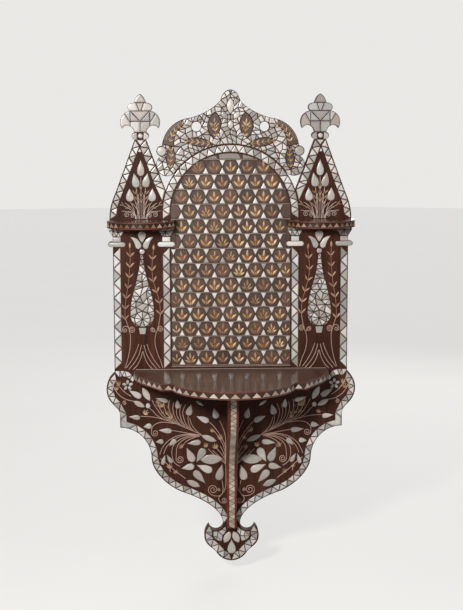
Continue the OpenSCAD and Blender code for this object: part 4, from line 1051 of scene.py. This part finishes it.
# Stems and scrolls of the apron, drawn for the right half
plume = [[(128, -96), (141, -88), (149, -79), (157, -72)],
         [(118, -99), (130, -90), (140, -77), (147, -65), (150, -58)],
         [(110, -102), (123, -92), (133, -79), (138, -68), (140, -58)],
         [(104, -104), (115, -94), (124, -81), (128, -69), (128, -60)],
         [(98, -107), (109, -96), (116, -83), (119, -70), (117, -58)],
         [(93, -110), (103, -99), (109, -86), (111, -73), (109, -63)],
         [(88, -112), (96, -101), (103, -89), (104, -77), (102, -67)],
         [(82, -114), (91, -104), (96, -93), (98, -80), (95, -67)],
         [(77, -116), (85, -107), (90, -95), (92, -81), (87, -67)],
         [(72, -119), (79, -110), (82, -99), (82, -90)], [(61, -124), (72, -112), (77, -102), (79, -93)]]
plumeStems = [through(points) for points in plume]
apronStems = plumeStems + [
    through([(57, -126), (72, -119), (88, -112), (108, -103), (128, -96), (148, -91), (172, -89)]),
    through([(57, -127), (77, -124), (98, -120), (115, -117)]),
    through([(108, -104), (128, -101), (143, -104), (151, -112), (151.8, -122)])
    + scroll(145, -122, 6.8, 0, 1.6, -1)[1:],
    through([(57, -127), (85, -125), (108, -130), (126, -143), (135, -159), (136, -164)]),
    through([(67, -126.5), (88, -127), (105, -133), (121, -146), (128, -159), (129, -163)]),
    through([(62, -128), (80, -128.5), (99, -136), (111, -148), (113.5, -164), (109, -180), (98, -188)]),
    through([(67, -129), (83, -132), (97, -140), (104, -152), (105.6, -174)])
    + scroll(98, -174, 7.6, 0, 1.9, -1)[1:],
    through([(60, -129), (69, -131), (81, -136), (89, -142), (94, -151)]),
    through([(10.8, -182), (12.2, -147), (29.5, -115), (45, -99)]),
    through([(10.6, -172), (11.5, -129), (22, -99)]),
    through([(10.6, -176), (14, -152), (24, -131), (34, -118)]),
    curl((10.5, -178), (13, -165), (17, -158), (21, -149)),
    curl((10.5, -180), (15, -168), (22, -160), (29, -152)),
    curl((11, -182), (19, -172), (27, -166), (36, -157)),
    curl((11, -184), (22, -174), (34, -166), (44, -154)),
    through([(10.8, -182), (10.8, -226), (16, -240), (23.7, -249)]),
    through([(18, -217), (16, -230), (17, -241)]),
    curl((20, -246), (27, -249), (44, -247), (44.4, -234.6)) + scroll(35.3, -234.6, 9.1, 0, 1.7)[1:],
    scroll(24, -234, 3.2, 200, 1.3),
    curl((23.7, -249), (26, -254), (23, -261.4), (14.5, -261.4)) + scroll(14.5, -256, 5.4, 270, 1.5, -1)[1:],
    through([(136, -172), (127, -179), (112, -193), (88, -212)]),
    through([(122, -183), (118, -190), (117, -198)]),
    curl((224, -26), (218, -48), (203, -59), (180, -60)),
    scroll(202, -63, 4.2, 120, 1.4, -1),
    curl((219, -16), (214, -30), (205, -42), (190, -50)),
]
wires("apronStems", mirrored(apronStems), plankFace - 0.3, "copperWire", radius=0.7)

# Wires of a tower panel and of a spire, drawn about the tower's middle with the outer side positive
chains = [through([(33, 97), (31, 131), (25, 169), (22.5, 197), (21.6, 215), (21.9, 232)]),
          through([(-34, 106), (-32, 131), (-25.5, 154), (-20.5, 173), (-19, 192), (-20, 210), (-22, 228)])]
towerWires = [
    through([(34, 4), (29.5, 18), (25, 37), (23, 55), (24, 73), (32, 99)]),
    through([(-37, 4), (-33, 18), (-26, 37), (-23, 55), (-25, 69), (-29.5, 82), (-34, 108)]),
    curl((25, 76), (26, 86), (15, 84), (15, 77)) + scroll(20.2, 77, 5.2, 180, 1.5)[1:],
    curl((27, 82), (31, 87), (38, 84), (37.5, 77)) + scroll(33, 77, 4.5, 0, 1.4, -1)[1:],
    curl((-28, 78), (-30, 88), (-37.8, 84), (-37.5, 78)) + scroll(-33, 78, 4.5, 180, 1.4)[1:],
    curl((-24, 72), (-22, 84), (-15, 82), (-15.6, 77)) + scroll(-19.8, 77, 4.2, 0, 1.3, -1)[1:],
] + mirrored([
    through([(7.6, 50), (13.4, 34), (22, 18), (32, 4)]),
    through([(2.4, 48), (7, 31), (15.3, 15.7), (27, 1.5)]),
    through([(0.5, 36), (4, 23), (10.5, 10), (19, 1)]),
], (-1, 1))
spireWires = [[(0, 286), (0, 364)]] + mirrored([
    curl((11, 286), (10, 297), (17, 302), (26, 299.4)) + scroll(26, 294.4, 5, 90, 1.5, -1)[1:],
    curl((11, 286), (11, 300), (21, 306), (33, 311)),
    curl((11, 286), (11, 301), (15, 311), (20, 318)),
    curl((10.6, 286), (10, 303), (19, 309), (30, 316)),
    curl((6, 286), (6, 306), (10, 318), (13, 326)),
    curl((6, 286), (5, 306), (6, 326), (8.6, 344)),
    curl((4, 286), (3, 304), (4, 320), (5, 332)),
    curl((8, 286), (8, 293), (12, 297), (16, 296)) + scroll(16, 292.2, 3.8, 90, 1.3, -1)[1:],
    curl((9, 286), (10, 297), (24, 300), (36, 301)),
    curl((3, 286), (3, 303), (11, 309), (16, 315)),
], (-1, 1))
wires("towerWires", onTowers(towerWires), plankFace - 0.3, "copperWire", radius=0.65)
wires("spireWires", onTowers(spireWires), plankFace - 0.3, "silverWire", radius=0.5)


def beside(line, near, far):
    made = []
    for i in range(1, len(line) - 1):
        run = Vector(line[i + 1]) - Vector(line[i - 1])
        by = near + (far - near) * i / len(line)
        made.append((line[i][0] - run.y / run.length * by, line[i][1] + run.x / run.length * by))
    return made


shoulder = curl((127.8, 411.4), (127.8, 447.4), (103, 469), (76, 472), 40)[8:34]  # the crest's outline there
shoulderLines = [beside(shoulder, 2.2, 2.2), beside(shoulder, 6, 4.6)]
wires("shoulderWires", mirrored(shoulderLines), inlayFace - 0.1, "paleWire", radius=0.55)

# Leafy sprays beside the vases, in the spires, on the apron and on the crest panels
leafPair = [(0, 0, -40, 11, 3.6, 0.5), (0, 0, 40, 11, 3.6, 0.5)]
chainPair = [(0, 0, -38, 13.2, 3.2, 0.5), (0, 0, 38, 13.2, 3.2, 0.5)]
barbs = [(0, 0, -24, 11, 1.7, 0.3), (0, 0, 24, 11, 1.7, 0.3)]
spireSprays = [[(0, 316), (0, 340)]] + mirrored([curl((6.4, 312), (7, 318), (8, 326), (10, 332)),
                                                 curl((20, 306), (24, 308), (28, 310), (32, 312))], (-1, 1))
crestSprays = mirrored([curl((27, 438), (26, 444), (29, 452), (29.6, 458)),
                        [(38, 424.6), (58, 427.4), (78, 430.2)], beside(shoulder, 14, 8),
                        curl((111, 381), (115, 392), (106, 402), (110, 412))])
# each set is its lines, depth, leaves, spacing, smallest and largest leaf, and finish
chainParts = [line[:-6] for line in chains]
plumeParts = [line[9:17] for line in plumeStems[2:5]]
sprays = {"panelSprays": (onTowers(chainParts), plankFace, chainPair, 19.3, 0.85, 1.0, "chainGold"),
          "spireSprays": (onTowers(spireSprays), plankFace, barbs, 8, 0.7, 0.95, "dullGold"),
          "plumeBarbs": (mirrored(plumeParts), plankFace, barbs, 9, 0.6, 0.85, "dullGold"),
          "crestSprays": (crestSprays, inlayFace + 0.15, leafPair, 9, 0.62, 0.8, "goldLeaf")}
for name, (lines, y, leaves, spacing, least, most, finish) in sprays.items():
    grow(name, lineData(lines, y - 0.2), sprayTree, finish,
         {"Leaf": leafObject(leaves), "Spacing": spacing * mm, "Smallest": least, "Largest": most, "Seed": 3})
wires("sprayStems", onTowers(chains), plankFace - 0.2, "chainGold", radius=0.5)
buds = [(towerX + 21.9, 231), (towerX - 22, 227)]
sprigsAt("chainBuds", sum(mirrored([buds]), []), plankFace - 0.2, "chainGold", [(0, 0, 0, 12, 4.2, 0.6)],
         least=0.95, most=1.05, turn=0.1, seed=5)
wires("crestStems", crestSprays, inlayFace - 0.05, "goldLeaf", radius=0.45)
tuft = [(0, 0, -52, 9, 1.9, 0.4), (0, 0, -27, 11, 2.0, 0.4), (0, 0, 0, 12.5, 2.1, 0.4), (0, 0, 26, 11, 2.0, 0.4),
        (0, 0, 50, 9, 1.9, 0.4)]
tuftSpots = [(131, -72), (140, -66), (113, -95), (166, -86), (93, -151), (119, -192), (105, -202), (46, -150),
             (29, -154), (39, -121), (24, -136), (210, -28), (215, -38)]
sprigsAt("apronTufts", sum(mirrored([tuftSpots]), []), plankFace - 0.3, "dullGold", tuft,
         least=0.7, most=1.0, turn=0.9, seed=12)
footLines = [[(-180, 1.2), (180, 1.2)], [(-112, 6.4), (112, 6.4)]]
wires("fieldFootWires", footLines, plankFace - 0.2, "paleWire", radius=0.7)
print("stems and leaves grown")


# Teeth on the shelf edges and the bracket's strip

def edgeInlay(name, nodes, finish, dice, white=0.22, ease=0.15):
    whole = bmesh.new()
    layers = [whole.verts.layers.float.new(n) for n in marks]
    for node in nodes:
        bm = mergedCopy(node)
        for group in islandsOf(bm):
            values = (someShade(dice, white), dice.random(), 0)
            copies = {}
            for v in [v for face in group for v in face.verts]:
                if v not in copies:
                    copies[v] = whole.verts.new(v.co)
                    for layer, value in zip(layers, values):
                        copies[v][layer] = value
            for face in group:
                whole.faces.new([copies[v] for v in face.verts])
        bm.free()
    bmesh.ops.dissolve_limit(whole, angle_limit=0.01, verts=whole.verts, edges=whole.edges)
    bmesh.ops.bevel(whole, geom=whole.edges[:], offset=ease * mm, segments=1, profile=0.5, affect="EDGES",
                    clamp_overlap=True)
    place(name, whole, finish, nodes)


def frontEdge(node):
    bm = mergedCopy(node)
    bm.normal_update()
    top = {f for f in bm.faces if f.normal.z > 0.9}
    rim = {v for f in top for e in f.edges for v in e.verts
           if sum(g in top for g in e.link_faces) == 1 and v.co.y < (plankFace - 0.5) * mm}
    flat = [tuple(c * 1000 for c in v.co) for v in rim]
    bm.free()
    cx = (min(p[0] for p in flat) + max(p[0] for p in flat)) / 2
    return sorted(flat, key=lambda p: math.atan2(p[0] - cx, plankFace - p[1]))


thickness = {"main_shelf": 14, "left_gallery_shelf": 13, "right_gallery_shelf": 13}
trim = {"in": 1.1, "radius": 0.9, "shade": 0.5}
trims = []
for node, thick in thickness.items():
    edge = frontEdge(node)
    trims += [[(x, y, z - trim["in"]) for x, y, z in edge],
              [(x, y, z + trim["in"] - thick) for x, y, z in edge]]
wires("edgeTrims", trims, 0, "redLine", trim["radius"], trim["shade"])
dice = random.Random(14)
edgeInlay("shelfTeeth", ("shelf_edge_teeth",), "bone", dice)
# the gallery teeth's darker amber tones are partly painted shade
edgeInlay("galleryTeeth", ("left_gallery_teeth", "right_gallery_teeth"), "amber", dice, 0.28)
edgeInlay("bracketStrip", ("bracket_edge_strip",), "ivory", dice)
print("edges inlaid")


# Floor, light and camera

stage = {"floorZ": -0.40, "floorRadius": 9.0, "floor": [(0.3, 144, 142, 139), (0.7, 150, 148, 145)],
         "glow": (0.66, 0.655, 0.645, 1), "sky": (1, 0.99, 0.97, 1), "backdrop": 0.82, "ambient": 0.035}
f = Finish("paleFloor")
f.surface({"Base Color": f.ramp(f.cloud((3, 3, 3), 2), tones(stage["floor"])), "Roughness": 0.85,
           "Emission Color": f.blend((0, 0, 0, 1), stage["glow"], f.seen()), "Emission Strength": 1.0})
bm = bmesh.new()
bmesh.ops.create_circle(bm, cap_ends=True, segments=96, radius=stage["floorRadius"])
bmesh.ops.translate(bm, verts=bm.verts, vec=(0, 0, stage["floorZ"]))
floorMesh = bpy.data.meshes.new("floor")
bm.to_mesh(floorMesh)
bm.free()
floorMesh.materials.append(f.material)
floor = linked("floor", floorMesh)
floor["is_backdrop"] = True

world = bpy.data.worlds.new("studio")
bpy.context.scene.world = world
world.use_nodes = True
w = Nodes(world.node_tree)
level = w.node("ShaderNodeMapRange", {"Value": w.seen(), "To Min": stage["ambient"],
                                      "To Max": stage["backdrop"]})
sky = w.node("ShaderNodeBackground", {"Color": stage["sky"], "Strength": level})
w.node("ShaderNodeOutputWorld", {0: sky})

# each lamp is its place, size and power
lamps = {"key": ((-0.58, -1.6, 0.68), 0.24, 26), "fill": ((2.3, -1.1, 0.5), 1.4, 4.5),
         "above": ((0.2, -0.9, 2.4), 1.0, 3), "behind": ((0.7, 1.9, 0.9), 1.4, 12)}
lampAim = Vector((0, 0, 0.08))
for name, (spot, size, power) in lamps.items():
    lamp = bpy.data.lights.new(name, "AREA")
    lamp.size, lamp.energy = size, power
    holder = linked(name, lamp)
    holder.location = spot
    holder.rotation_euler = (lampAim - Vector(spot)).to_track_quat("-Z", "Y").to_euler()
    holder.visible_camera = False

shot = {"from": (-0.090, -2.618, 0.5117), "to": (0.001, -0.018, 0.1231), "roll": -0.15, "lens": 82.54}
camera = bpy.data.cameras.new("camera")
camera.lens, camera.sensor_width, camera.sensor_fit = shot["lens"], 36, "AUTO"
holder = linked("camera", camera)
holder.location = shot["from"]
aimed = (Vector(shot["to"]) - Vector(shot["from"])).to_track_quat("-Z", "Y")
holder.rotation_euler = (aimed @ Quaternion((0, 0, 1), math.radians(shot["roll"]))).to_euler()
bpy.context.scene.camera = holder
bpy.context.scene.view_settings.view_transform = "Standard"

low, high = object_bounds()
print("stage set")
